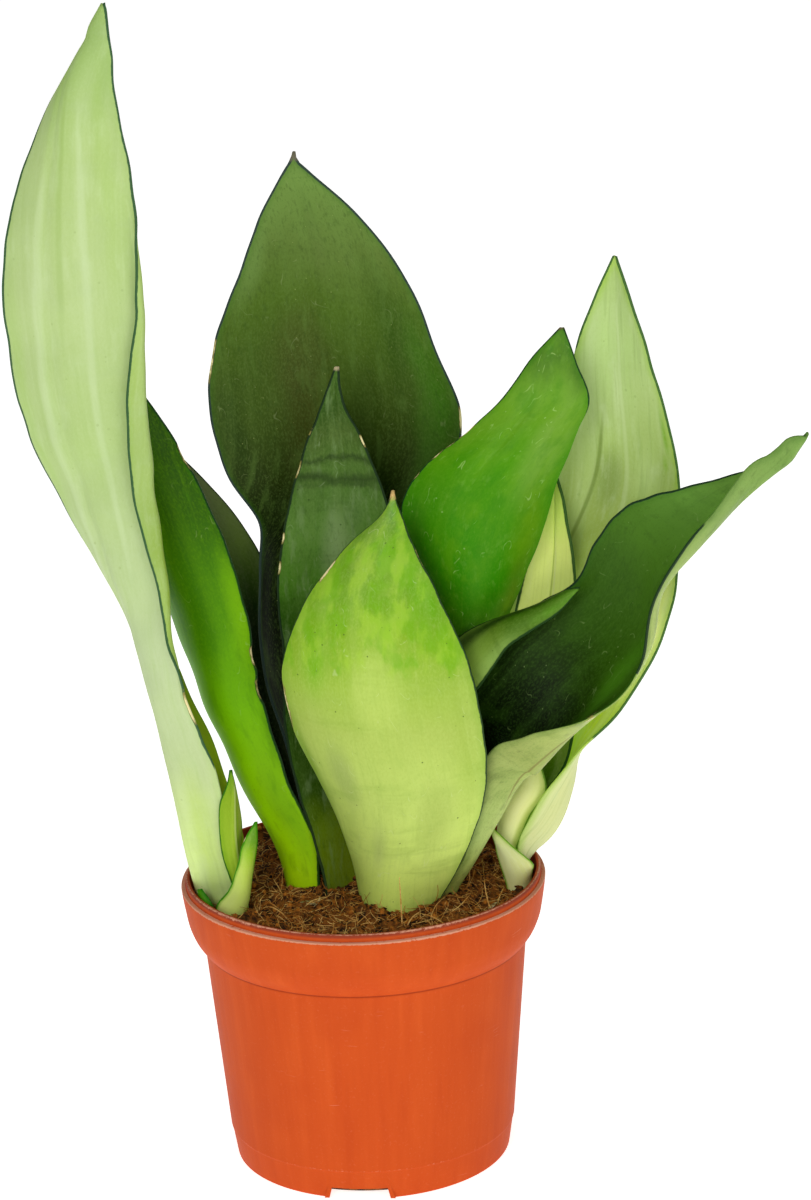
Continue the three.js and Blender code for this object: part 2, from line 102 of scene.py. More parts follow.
def addPiece(name, vertices, faces, material, node=None):
    mesh = bpy.data.meshes.new(name)
    mesh.from_pydata([tuple(v) for v in vertices], [], [tuple(f) for f in faces])
    mesh.polygons.foreach_set("use_smooth", [True] * len(mesh.polygons))
    mesh.materials.append(material)
    mesh.update()
    piece = bpy.data.objects.new(name, mesh)
    bpy.context.scene.collection.objects.link(piece)
    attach(piece, "root")
    if node:
        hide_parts(node)
    return piece


# Camera: a long lens at the height of the leaves, looking down a little, tilted a touch.
cameraView = {
    "target": (17.5, 0, 193), "distance": 1400, "elevation": 17.5, "tilt": -2.1,
    "focal": 128.0, "frameHeight": 36.0,
}


def placeCamera(v):
    e = math.radians(v["elevation"])
    r = math.radians(v["tilt"])
    back = Vector((0, -math.cos(e), math.sin(e)))
    right = Vector((1, 0, 0))
    up = back.cross(right)
    right, up = right * math.cos(r) + up * math.sin(r), up * math.cos(r) - right * math.sin(r)
    place = (Vector(v["target"]) + back * v["distance"]) * mm
    camera = bpy.data.objects.new("camera", bpy.data.cameras.new("camera"))
    rows = [(*axis, at) for axis, at in zip(zip(right, up, back), place)]
    camera.matrix_world = Matrix(rows + [(0, 0, 0, 1)])
    camera.data.sensor_fit = "VERTICAL"
    camera.data.sensor_height = v["frameHeight"]
    camera.data.lens = v["focal"]
    bpy.context.scene.collection.objects.link(camera)
    bpy.context.scene.camera = camera


placeCamera(cameraView)

# Studio: white surround, a soft key a little left of the camera, weak fills, an opal table lit from below.
studio = {
    "lights": [  # name, place in metres, side in metres, watts
        ("softboxKey", (-0.6, -1.9, 1.1), 0.9, 16),
        ("softboxFill", (1.1, -1.7, 0.7), 1.1, 7.5),
        ("softboxTop", (0.0, 0.2, 1.9), 1.0, 6.5),
    ],
    "aim": (0.0, 0.0, 0.2),
    "surround": "#ffffff", "surroundStrength": 0.2,
    "table": "#f4f4f2", "tableShade": "#efefed", "tableGlow": 0.92, "tableRadius": 12.0,
}


def buildStudio(s):
    for name, place, side, watts in s["lights"]:
        light = bpy.data.lights.new(name, "AREA")
        light.shape = "SQUARE"
        light.size = side
        light.energy = watts
        lamp = bpy.data.objects.new(name, light)
        lamp.location = place
        lamp.rotation_euler = (Vector(s["aim"]) - Vector(place)).to_track_quat("-Z", "Y").to_euler()
        bpy.context.scene.collection.objects.link(lamp)
    world = bpy.data.worlds.new("whiteSurround")
    world.use_nodes = True
    background = world.node_tree.nodes["Background"]
    background.inputs[0].default_value = linear(s["surround"])
    background.inputs[1].default_value = s["surroundStrength"]
    bpy.context.scene.world = world
    bpy.context.scene.view_settings.view_transform = "Standard"

    # opal acrylic: an even, faintly glowing white that swallows most of the shadow
    material, tree, shader = newMaterial("opalAcrylic")
    place = addNode(tree, "ShaderNodeTexCoord", out=3)
    haze = tissueGrain(tree, place, (0.6, 0.6, 0.6), 1.0)
    colour = tintWhere(tree, linear(s["table"]), haze, 0.3, 0.7, 1.0, linear(s["tableShade"]))
    tree.links.new(colour, shader.inputs["Base Color"])
    tree.links.new(colour, shader.inputs["Emission Color"])
    shader.inputs["Emission Strength"].default_value = s["tableGlow"]
    shader.inputs["Roughness"].default_value = 0.8
    shader.inputs["Specular IOR Level"].default_value = 0.1
    sides = 48
    turns = [i * 2 * math.pi / sides for i in range(sides)]
    rim = [(s["tableRadius"] * math.cos(a), s["tableRadius"] * math.sin(a), -0.0001) for a in turns]
    mesh = bpy.data.meshes.new("lightTable")
    mesh.from_pydata(rim, [], [tuple(range(sides))])
    mesh.materials.append(material)
    table = bpy.data.objects.new("lightTable", mesh)
    bpy.context.scene.collection.objects.link(table)


buildStudio(studio)
print("camera and studio ready")

# Leaf finish: the waxy skin of a living snake plant leaf over pale fleshy tissue, grown, not made.
# To the eye: satin, with fine lengthwise veins, wide silvery streaks, faint marbling across
# and a thin dark line of hard tissue along both margins.
# Patterns are read at two places kept on each point: leafPlace, in mm (across, along, from the margin),
# and leafShare (across from -1 to 1, along from 0 to 1, 1 on the face that looks forward).
leafSkin = {
    "ior": 1.44, "roughness": 0.44, "specular": 0.1,
    "veinSize": (1.3, 80, 30), "streakSize": (6.5, 170, 30), "marblingSize": (45, 6, 40),
    "driftSize": (16, 30, 30), "cellSize": (0.75, 1.1, 1),  # real skin cells are far finer, these show
    "speckSpacing": 3.4, "speckRadius": 0.16,
    "margin": 0.95, "marginWidth": 0.5, "marginColour": "#1f3a22",  # the dark line along the margins
    "scarColour": "#ecdfa6", "scarRim": "#8f8448",
    "raggedSize": (1.2, 2.2, 5), "scratchSize": (6, 10, 20), "scratchGroupSize": (4, 5, 20),
    "veinHeight": 0.05, "cellHeight": 0.03,
}


# What the patterns are read from: the places kept on each point, and the grains that several share.
def leafReadings(tree, skin, seed):
    place = addNode(tree, "ShaderNodeAttribute", {"attribute_name": "leafPlace"}, None, 1)
    share = addNode(tree, "ShaderNodeAttribute", {"attribute_name": "leafShare"}, None, 1)
    across, along, face = addNode(tree, "ShaderNodeSeparateXYZ", None, {0: share}, None)
    return SimpleNamespace(
        place=place, share=share, across=across, along=along,
        fromMargin=addNode(tree, "ShaderNodeSeparateXYZ", None, {0: place}, 2),
        facing=addNode(tree, "ShaderNodeMapRange", None, {0: face, 1: 0.35, 2: 0.65}),
        drift=tissueGrain(tree, place, skin["driftSize"], seed),
        veins=tissueGrain(tree, place, skin["veinSize"], seed, 3, 0.6),
        streaks=tissueGrain(tree, place, skin["streakSize"], seed + 3, 1, 0.4),
        marbling=tissueGrain(tree, place, skin["marblingSize"], seed + 7, 3, 0.62),
        cells=tissueGrain(tree, place, skin["cellSize"], seed, 2, 0.6),
        ragged=tissueGrain(tree, place, skin["raggedSize"], seed + 5, 2, 0.6),
    )


# Ground colour of each face from foot to tip, its edges softened by slow drift. Patches of another
# green lie on the forward face: across, along, half width, half length, strength, tint.
# On some leaves the ground colours and patches also carry painted shade, light and sheen, noted at each leaf.
def groundColour(tree, look, at):
    shifted = addNode(tree, "ShaderNodeMath", {"operation": "MULTIPLY_ADD"},
                      {0: at.drift, 1: 0.1, 2: at.along})
    shifted = addNode(tree, "ShaderNodeMath", {"operation": "SUBTRACT"}, {0: shifted, 1: 0.05})
    near = addNode(tree, "ShaderNodeValToRGB", {"stops": look["near"]}, {0: shifted})
    far = addNode(tree, "ShaderNodeValToRGB", {"stops": look.get("far", look["near"])}, {0: shifted})
    for atAcross, atAlong, halfWide, halfLong, strength, tint in look.get("patches", []):
        offset = addNode(tree, "ShaderNodeVectorMath", {"operation": "MULTIPLY_ADD"},
                         {0: at.share, 1: (1 / halfWide, 1 / halfLong, 0),
                          2: (-atAcross / halfWide, -atAlong / halfLong, 0)})
        reach = addNode(tree, "ShaderNodeVectorMath", {"operation": "LENGTH"}, {0: offset}, 1)
        reach = addNode(tree, "ShaderNodeMath", {"operation": "MULTIPLY_ADD"},
                        {0: at.drift, 1: 0.9, 2: reach})
        near = tintWhere(tree, near, reach, 1.5, 0.5, strength, linear(tint))
    return addNode(tree, "ShaderNodeMix", {"data_type": "RGBA"}, {0: at.facing, 6: far, 7: near}, 2)


# Veins, silvery streaks, marbling and cells, then blotches of other greens: grain across and along in
# mm, from and to where they show, strength, tint, and on some leaves where along the blade they begin.
def tissueColour(tree, look, at, seed, colour):
    light, deep = linear(look["light"]), linear(look["deep"])
    colour = tintWhere(tree, colour, at.streaks, 0.46, 0.7, look["streaks"], light)
    colour = tintWhere(tree, colour, at.veins, 0.5, 0.76, look["veins"], light)
    colour = tintWhere(tree, colour, at.veins, 0.46, 0.24, look["veins"], deep)
    colour = tintWhere(tree, colour, at.marbling, 0.52, 0.72, look["marbling"], deep)
    colour = tintWhere(tree, colour, at.cells, 0.42, 0.72, look["cells"], light)
    colour = tintWhere(tree, colour, at.cells, 0.48, 0.25, look["cells"], deep)
    for wide, tall, low, high, strength, tint, *start in look.get("mottle", []):
        blotch = tissueGrain(tree, at.place, (wide, tall, 20), seed + wide, 4, 0.55)
        for begin in start:
            fade = addNode(tree, "ShaderNodeMapRange", None, {0: at.along, 1: begin - 0.1, 2: begin + 0.1})
            blotch = addNode(tree, "ShaderNodeMath", {"operation": "MULTIPLY"}, {0: blotch, 1: fade})
        colour = tintWhere(tree, colour, blotch, low, high, strength, linear(tint))
    return colour


# Bands across the blade: along, half length, strength, waviness. They break up with the marbling.
def crossBands(tree, look, at, colour):
    for atAlong, halfLong, strength, waves in look.get("bands", []):
        wave = addNode(tree, "ShaderNodeMath", {"operation": "MULTIPLY_ADD"},
                       {0: at.drift, 1: waves, 2: at.along})
        wave = addNode(tree, "ShaderNodeMath", {"operation": "MULTIPLY_ADD"},
                       {0: at.ragged, 1: 0.016, 2: wave})
        gap = addNode(tree, "ShaderNodeMath", {"operation": "SUBTRACT"},
                      {0: wave, 1: atAlong + waves / 2 + 0.008})
        gap = addNode(tree, "ShaderNodeMath", {"operation": "ABSOLUTE"}, {0: gap})
        gap = addNode(tree, "ShaderNodeMath", {"operation": "MULTIPLY_ADD"},
                      {0: at.marbling, 1: halfLong, 2: gap})
        colour = tintWhere(tree, colour, gap, halfLong * 1.7, halfLong * 0.3, strength,
                           linear(look["bandColour"]))
    return colour


# Soft lines along the blade where it is folded or creased: across at the foot and the tip, start,
# end, half width as a share of the half blade, strength, tint.
# On some leaves a dark line is painted shade in a fold.
def foldLines(tree, look, at, colour):
    for footAcross, tipAcross, start, end, halfWide, strength, tint in look.get("lines", []):
        gap = addNode(tree, "ShaderNodeMath", {"operation": "MULTIPLY_ADD"},
                      {0: at.along, 1: footAcross - tipAcross, 2: at.across})
        gap = addNode(tree, "ShaderNodeMath", {"operation": "MULTIPLY_ADD"},
                      {0: at.drift, 1: 0.04, 2: gap})
        gap = addNode(tree, "ShaderNodeMath", {"operation": "SUBTRACT"}, {0: gap, 1: footAcross + 0.02})
        gap = addNode(tree, "ShaderNodeMath", {"operation": "ABSOLUTE"}, {0: gap})
        line = addNode(tree, "ShaderNodeMapRange", None, {0: gap, 1: halfWide, 2: halfWide * 0.2})
        for shown, full in ((start, start + 0.05), (end, end - 0.05)):
            fade = addNode(tree, "ShaderNodeMapRange", None, {0: at.along, 1: shown, 2: full})
            line = addNode(tree, "ShaderNodeMath", {"operation": "MULTIPLY"}, {0: line, 1: fade})
        colour = tintWhere(tree, colour, line, 0.0, 1.0, strength, linear(tint))
    return colour


# Specks on the skin: some cells of the pattern stay empty.
def skinSpecks(tree, skin, at, colour):
    spacing = skin["speckSpacing"]
    spots = addNode(tree, "ShaderNodeVectorMath", {"operation": "MULTIPLY"},
                    {0: at.place, 1: (1 / spacing, 1 / spacing, 0)})
    distance, pick = addNode(tree, "ShaderNodeTexVoronoi", None, {"Vector": spots, "Scale": 1.0}, None)[:2]
    pick = addNode(tree, "ShaderNodeSeparateXYZ", None, {0: pick})
    size = addNode(tree, "ShaderNodeMapRange", None,
                   {0: pick, 1: 0.4, 2: 1.0, 3: 0.0, 4: skin["speckRadius"]})
    inside = addNode(tree, "ShaderNodeMath", {"operation": "SUBTRACT"}, {0: size, 1: distance})
    return tintWhere(tree, colour, inside, 0.0, 0.03, skin["specks"], linear(skin["speckColour"]))


# Fine scratches: thin pale arcs, kept only here and there.
def fineScratches(tree, skin, at, seed, colour):
    strength, tint = skin["scratches"]
    arcs = tissueGrain(tree, at.place, skin["scratchSize"], seed + 11, 1, 0.5)
    arcs = addNode(tree, "ShaderNodeMath", {"operation": "SUBTRACT"}, {0: arcs, 1: 0.5})
    arcs = addNode(tree, "ShaderNodeMath", {"operation": "ABSOLUTE"}, {0: arcs})
    arcs = addNode(tree, "ShaderNodeMapRange", None, {0: arcs, 1: 0.012, 2: 0.0})
    kept = tissueGrain(tree, at.place, skin["scratchGroupSize"], seed + 13, 2, 0.5)
    kept = addNode(tree, "ShaderNodeMapRange", None, {0: kept, 1: 0.56, 2: 0.66})
    arcs = addNode(tree, "ShaderNodeMath", {"operation": "MULTIPLY"}, {0: arcs, 1: kept})
    return tintWhere(tree, colour, arcs, 0.0, 1.0, strength, linear(tint))


# Margins: a soft change of green towards the edge, then the dark line, a little ragged. Along the
# soft margins the line is thinner or wider: side, start, end, share of its width.
def darkMargins(tree, skin, at, colour):
    edge = addNode(tree, "ShaderNodeMath", {"operation": "MULTIPLY_ADD"},
                   {0: at.ragged, 1: 0.5, 2: at.fromMargin})
    edge = addNode(tree, "ShaderNodeMath", {"operation": "SUBTRACT"}, {0: edge, 1: 0.25})
    glowWidth, glow, glowColour = skin["glow"]
    colour = tintWhere(tree, colour, edge, glowWidth, 0.0, glow, linear(glowColour))
    line = skin["marginWidth"]
    for side, start, end, stays in skin.get("softMargins", []):
        lost = addNode(tree, "ShaderNodeMapRange", None, {0: at.across, 1: 0.1 * side, 2: 0.3 * side})
        for shown, full in ((start - 0.02, start + 0.02), (end + 0.02, end - 0.02)):
            fade = addNode(tree, "ShaderNodeMapRange", None, {0: at.along, 1: shown, 2: full})
            lost = addNode(tree, "ShaderNodeMath", {"operation": "MULTIPLY"}, {0: lost, 1: fade})
        edge = addNode(tree, "ShaderNodeMath", {"operation": "MULTIPLY_ADD"},
                       {0: lost, 1: line * 2 * (1 - stays), 2: edge})
    return tintWhere(tree, colour, edge, line * 1.2, line * 0.7, skin["margin"],
                     linear(skin["marginColour"]))


# Dry scars: across, along, half width in mm, half length in mm. The leaf's width and length are in mm.
def dryScars(tree, skin, at, width, length, colour):
    for atAcross, atAlong, halfWide, halfLong in skin.get("scars", []):
        offset = addNode(tree, "ShaderNodeVectorMath", {"operation": "MULTIPLY_ADD"},
                         {0: at.share, 1: (width / 2 / halfWide, length / halfLong, 0),
                          2: (-atAcross * width / 2 / halfWide, -atAlong * length / halfLong, 0)})
        reach = addNode(tree, "ShaderNodeVectorMath", {"operation": "LENGTH"}, {0: offset}, 1)
        reach = addNode(tree, "ShaderNodeMath", {"operation": "MULTIPLY_ADD"},
                        {0: at.ragged, 1: 1.2, 2: reach})
        colour = tintWhere(tree, colour, reach, 1.75, 1.5, 0.9, linear(skin["scarRim"]))
        colour = tintWhere(tree, colour, reach, 1.5, 1.1, 1.0, linear(skin["scarColour"]))
    return colour


# Dry tip: its length in mm and its colour.
def dryTip(tree, skin, at, length, colour):
    tipLength, tipColour = skin["tip"]
    wave = addNode(tree, "ShaderNodeMath", {"operation": "MULTIPLY_ADD"},
                   {0: at.ragged, 1: -3 / length, 2: at.along})
    return tintWhere(tree, colour, wave, 1 - (tipLength + 2.5) / length, 1 - (tipLength + 0.5) / length,
                     1.0, linear(tipColour))


# Painted glow: a faint emission, though a leaf is no lamp, that stands in for daylight coming through the
# thin pale tissue where a leaf stands in a narrow gap.
def paintedGlow(tree, shader, skin, at, colour):
    strength, end = skin["paintedGlow"]
    light = addNode(tree, "ShaderNodeMapRange", None,
                    {0: at.along, 1: end - 0.12, 2: end, 3: strength, 4: 0.0})
    light = addNode(tree, "ShaderNodeMath", {"operation": "MULTIPLY"}, {0: light, 1: at.facing})
    tree.links.new(colour, shader.inputs["Emission Color"])
    tree.links.new(light, shader.inputs["Emission Strength"])


def leafMaterial(name, look, width, length):
    skin = {**leafSkin, **look}
    seed = look["seed"]
    material, tree, shader = newMaterial("waxySnakePlantSkin_" + name)
    at = leafReadings(tree, skin, seed)
    colour = groundColour(tree, skin, at)
    colour = tissueColour(tree, skin, at, seed, colour)
    colour = crossBands(tree, skin, at, colour)
    colour = foldLines(tree, skin, at, colour)
    colour = skinSpecks(tree, skin, at, colour)
    if "scratches" in skin:
        colour = fineScratches(tree, skin, at, seed, colour)
    colour = darkMargins(tree, skin, at, colour)
    colour = dryScars(tree, skin, at, width, length, colour)
    if "tip" in skin:
        colour = dryTip(tree, skin, at, length, colour)
    tree.links.new(colour, shader.inputs["Base Color"])
    # painted glow on the pale leaves that carry one
    if "paintedGlow" in skin:
        paintedGlow(tree, shader, skin, at, colour)
    gloss = addNode(tree, "ShaderNodeMapRange", None,
                    {0: at.cells, 1: 0.3, 2: 0.7, 3: skin["roughness"] - 0.05, 4: skin["roughness"] + 0.07})
    tree.links.new(gloss, shader.inputs["Roughness"])
    relief = addNode(tree, "ShaderNodeMath", {"operation": "MULTIPLY"},
                     {0: at.veins, 1: skin["veinHeight"] * mm})
    relief = addNode(tree, "ShaderNodeMath", {"operation": "MULTIPLY_ADD"},
                     {0: at.cells, 1: skin["cellHeight"] * mm, 2: relief})
    bump = addNode(tree, "ShaderNodeBump", None, {"Strength": 1.0, "Distance": 1.0, "Height": relief})
    tree.links.new(bump, shader.inputs["Normal"])
    shader.inputs["IOR"].default_value = skin["ior"]
    shader.inputs["Specular IOR Level"].default_value = skin["specular"]
    return material


# Leaf form: stations from foot to tip, the same as in the part's source. A station is a point on the
# left margin, one on the right margin, how far the midrib stands back and how far it leans right.
# The tall leaf adds the width of its rolled edge and the angle that it is rolled through.
leafForm = {
    "edge": 0.8, "foldRadius": 1.6,
    "rowStep": 2.0, "columns": 40, "hemColumns": 16,
    "ripples": 5, "ripple": 0.3, "rippleLength": 34,  # the slow unevenness of a real blade
    "marginWobble": 0.08, "marginRound": 0.3, "nickDepth": 0.45,
}


def smoothAlong(knots, values, s):
    spans = np.diff(knots)[:, None]
    steps = np.diff(values, axis=0) / spans
    inner = (steps[:-1] * spans[1:] + steps[1:] * spans[:-1]) / (spans[1:] + spans[:-1])
    slopes = np.vstack([steps[:1], inner, steps[-1:]])
    i = np.clip(np.searchsorted(knots, s, side="right") - 1, 0, len(knots) - 2)
    span = spans[i]
    t = (s - knots[i])[:, None] / span
    return ((2 * t ** 3 - 3 * t ** 2 + 1) * values[i] + (t ** 3 - 2 * t ** 2 + t) * span * slopes[i]
            + (3 * t ** 2 - 2 * t ** 3) * values[i + 1] + (t ** 3 - t ** 2) * span * slopes[i + 1])


def unit(vectors):
    return vectors / np.maximum(np.linalg.norm(vectors, axis=-1, keepdims=True), 1e-9)


def farNormals(surface):
    return unit(np.cross(np.gradient(surface, axis=0), np.gradient(surface, axis=1)))


# The share across, from -1 to 1, with each margin wobbling a little and nicked where it has a dry scar.
def unevenAcross(leaf, rng, t, s, length, halfWidth):
    for side in (-1, 1):
        pitch = rng.uniform(9, 15)
        wobble = np.sin(s / pitch * 2.1 + rng.uniform(0, 6)) + np.sin(s / pitch * 5)
        inset = leafForm["marginWobble"] * wobble
        for atAcross, atAlong, halfWide, halfLong in leaf["look"].get("scars", []):
            if atAcross * side > 0.85:
                gap = (s - atAlong * length) / halfLong
                inset = inset + leafForm["nickDepth"] * halfWide * np.exp(-gap ** 4)
        inset = (inset * np.clip((length - s) / 12, 0, 1) * np.clip(s / 20, 0, 1))[:, None]
        t = np.where(t * side > 0, t * (1 - inset / np.maximum(halfWidth, 2) * np.abs(t) ** 3), t)
    return t


# The rolled edge of the tall leaf: columns of points past its right margin that turn forward.
def rolledHem(surface, ahead, width, degrees):
    edge = surface[:, -1]
    outward = unit(edge - surface[:, -2])
    forward = unit(np.cross(outward, ahead))
    width = np.maximum(width, 0.4)
    turn = np.radians(np.clip(degrees, 0.5, 170))
    arc = np.minimum(leafForm["foldRadius"] * turn, width * 0.8)
    radius = arc / turn
    hem = []
    for h in range(1, leafForm["hemColumns"] + 1):
        reach = width * h / leafForm["hemColumns"]
        angle = turn * np.minimum(reach, arc) / arc
        flat = np.maximum(reach - arc, 0)
        hem.append(edge + outward * (radius * np.sin(angle) + flat * np.cos(angle))[:, None]
                   + forward * (radius * (1 - np.cos(angle)) + flat * np.sin(angle))[:, None])
    return np.stack(hem, 1)


# Slow ripples, gone at the foot and the tip, and the leaf's own creases (towards the front).
def bladeRelief(leaf, rng, t, s, share):
    rise = np.zeros_like(t)
    for _ in range(leafForm["ripples"]):
        pitch = leafForm["rippleLength"] * rng.uniform(0.6, 1.8)
        wave = np.sin(s[:, None] / pitch * 2 * np.pi + t * rng.uniform(-1.5, 1.5) + rng.uniform(0, 6))
        rise += wave * leafForm["ripple"] * rng.uniform(0.2, 0.6)
    rise *= np.clip(share * 6 - 0.6, 0, 1) * np.clip((1 - share) * 8, 0, 1)
    for footAcross, tipAcross, start, end, halfWide, height in leaf.get("creases", []):
        gap = (t - footAcross - (tipAcross - footAcross) * share) / halfWide
        window = np.clip((share - start) / 0.12, 0, 1) * np.clip((end - share) / 0.12, 0, 1)
        rise += height * np.exp(-gap * gap) * window * window * (3 - 2 * window)
    return rise


# Points on the middle surface of a leaf, row by row, from its left margin to its right one.
def leafSurface(leaf, rng):
    stations = [list(left) + list(right) + list(rest) + [0] * (4 - len(rest))
                for left, right, *rest in leaf["stations"]]
    stations = np.array(stations, float)
    middles = (stations[:, :3] + stations[:, 3:6]) / 2
    knots = np.concatenate([[0], np.cumsum(np.linalg.norm(np.diff(middles, axis=0), axis=1))])
    length = knots[-1]
    rowCount = max(14, round(length / leafForm["rowStep"]))
    s = length * np.linspace(0, 1, rowCount + 1)
    at = smoothAlong(knots, stations, s)
    ahead = unit(smoothAlong(knots, middles, np.minimum(s + 1, length))
                 - smoothAlong(knots, middles, np.maximum(s - 1, 0)))
    centre = (at[:, :3] + at[:, 3:6]) / 2
    across = at[:, 3:6] - at[:, :3]
    halfWidth = np.linalg.norm(across, axis=1)[:, None] / 2
    across = unit(across)
    back = unit(np.cross(ahead, across))
    t = np.tile(np.sin(np.linspace(-0.5, 0.5, leafForm["columns"] + 1) * np.pi), (rowCount + 1, 1))
    t = unevenAcross(leaf, rng, t, s, length, halfWidth)
    belly = 1 - np.abs(t) ** leaf["keel"]
    surface = (centre[:, None] + across[:, None] * (halfWidth * t + at[:, 7:8] * belly)[..., None]
               + back[:, None] * (at[:, 6:7] * belly)[..., None])
    cover = 1 - t * t
    if leaf.get("rolled"):
        hem = rolledHem(surface, ahead, at[:, 8], at[:, 9])
        columns = hem.shape[1]
        surface = np.concatenate([surface, hem], 1)
        beyond = np.tile(1 + 0.2 * np.arange(1, columns + 1) / columns, (rowCount + 1, 1))
        cover = np.concatenate([cover, beyond * 0], 1)
        t = np.concatenate([t, beyond], 1)
    rise = bladeRelief(leaf, rng, t, s, (s / length)[:, None])
    surface = surface - farNormals(surface) * rise[..., None]
    return surface, cover, t, s, length


# Faces between the rings of points around a blade, and over its foot and its tip.
def leafFaces(rows, columns, count):
    faces = []
    for r in range(rows - 1):
        a, b = r * count, (r + 1) * count
        faces += [(a + j, b + j, b + (j + 1) % count, a + (j + 1) % count) for j in range(count)]
    for r, order in ((0, 1), (rows - 1, -1)):
        a = r * count
        nearLeft = count - 2
        for c in range(columns - 1):
            faces.append((a + c, a + c + 1, a + nearLeft - c - 1, a + nearLeft - c)[::order])
        faces.append((a + columns - 1, a + columns, a + columns + 1)[::order])
        faces.append((a, a + nearLeft, a + count - 1)[::order])
    return faces


# A closed piece around the middle surface: two faces, rounded margins, closed foot and tip.
def makeLeaf(node, leaf):
    rng = random.Random(leaf["look"]["seed"])
    surface, cover, t, s, length = leafSurface(leaf, rng)
    rows, columns = t.shape
    share = np.tile((s / length)[:, None], (1, columns))
    flesh = 1.2 + (1 - share ** 3) + 1.6 * (1 - share) ** 4
    skin = (leafForm["edge"] + np.maximum(flesh * leaf["body"] - leafForm["edge"], 0) * cover) / 2
    shift = farNormals(surface) * skin[..., None]
    leftRound = surface[:, :1] + unit(surface[:, :1] - surface[:, 1:2]) * leafForm["marginRound"]
    rightRound = surface[:, -1:] + unit(surface[:, -1:] - surface[:, -2:-1]) * leafForm["marginRound"]
    steps = np.linalg.norm(np.diff(surface, axis=1), axis=2)
    fromLeft = np.concatenate([np.zeros((rows, 1)), np.cumsum(steps, axis=1)], 1)
    fromRight = fromLeft[:, -1:] - fromLeft
    acrossMm = (fromLeft - fromRight) / 2
    fromMargin = np.minimum(fromLeft, fromRight)

    # one ring of points per row: far face left to right, right margin, near face back, left margin
    def around(farValues, nearValues, rightValues, leftValues):
        return np.concatenate([farValues, rightValues, nearValues[:, ::-1], leftValues], 1)

    points = around(surface + shift, surface - shift, rightRound, leftRound)
    zeros, ones = np.zeros((rows, columns)), np.ones((rows, columns))
    ringAcross = around(acrossMm, acrossMm, acrossMm[:, -1:], acrossMm[:, :1])
    ringMargin = around(fromMargin, fromMargin, zeros[:, :1], zeros[:, :1])
    ringT = around(t, t, t[:, -1:], t[:, :1])
    ringFace = around(zeros, ones, ones[:, :1] * 0.5, ones[:, :1] * 0.5)
    count = points.shape[1]
    along = np.tile(s[:, None], (1, count))
    leafPlace = np.stack([ringAcross, along, ringMargin], -1)
    leafShare = np.stack([ringT, along / length, ringFace], -1)

    width = float(np.max(fromLeft[:, -1]))
    name = node.replace("leaf_", "")
    piece = addPiece(node + ".fine", points.reshape(-1, 3) * mm, leafFaces(rows, columns, count),
                     leafMaterial(name, leaf["look"], width, float(length)), node)
    for attribute, values in (("leafPlace", leafPlace), ("leafShare", leafShare)):
        layer = piece.data.attributes.new(attribute, "FLOAT_VECTOR", "POINT")
        layer.data.foreach_set("vector", values.reshape(-1).astype(np.float32))
    return piece


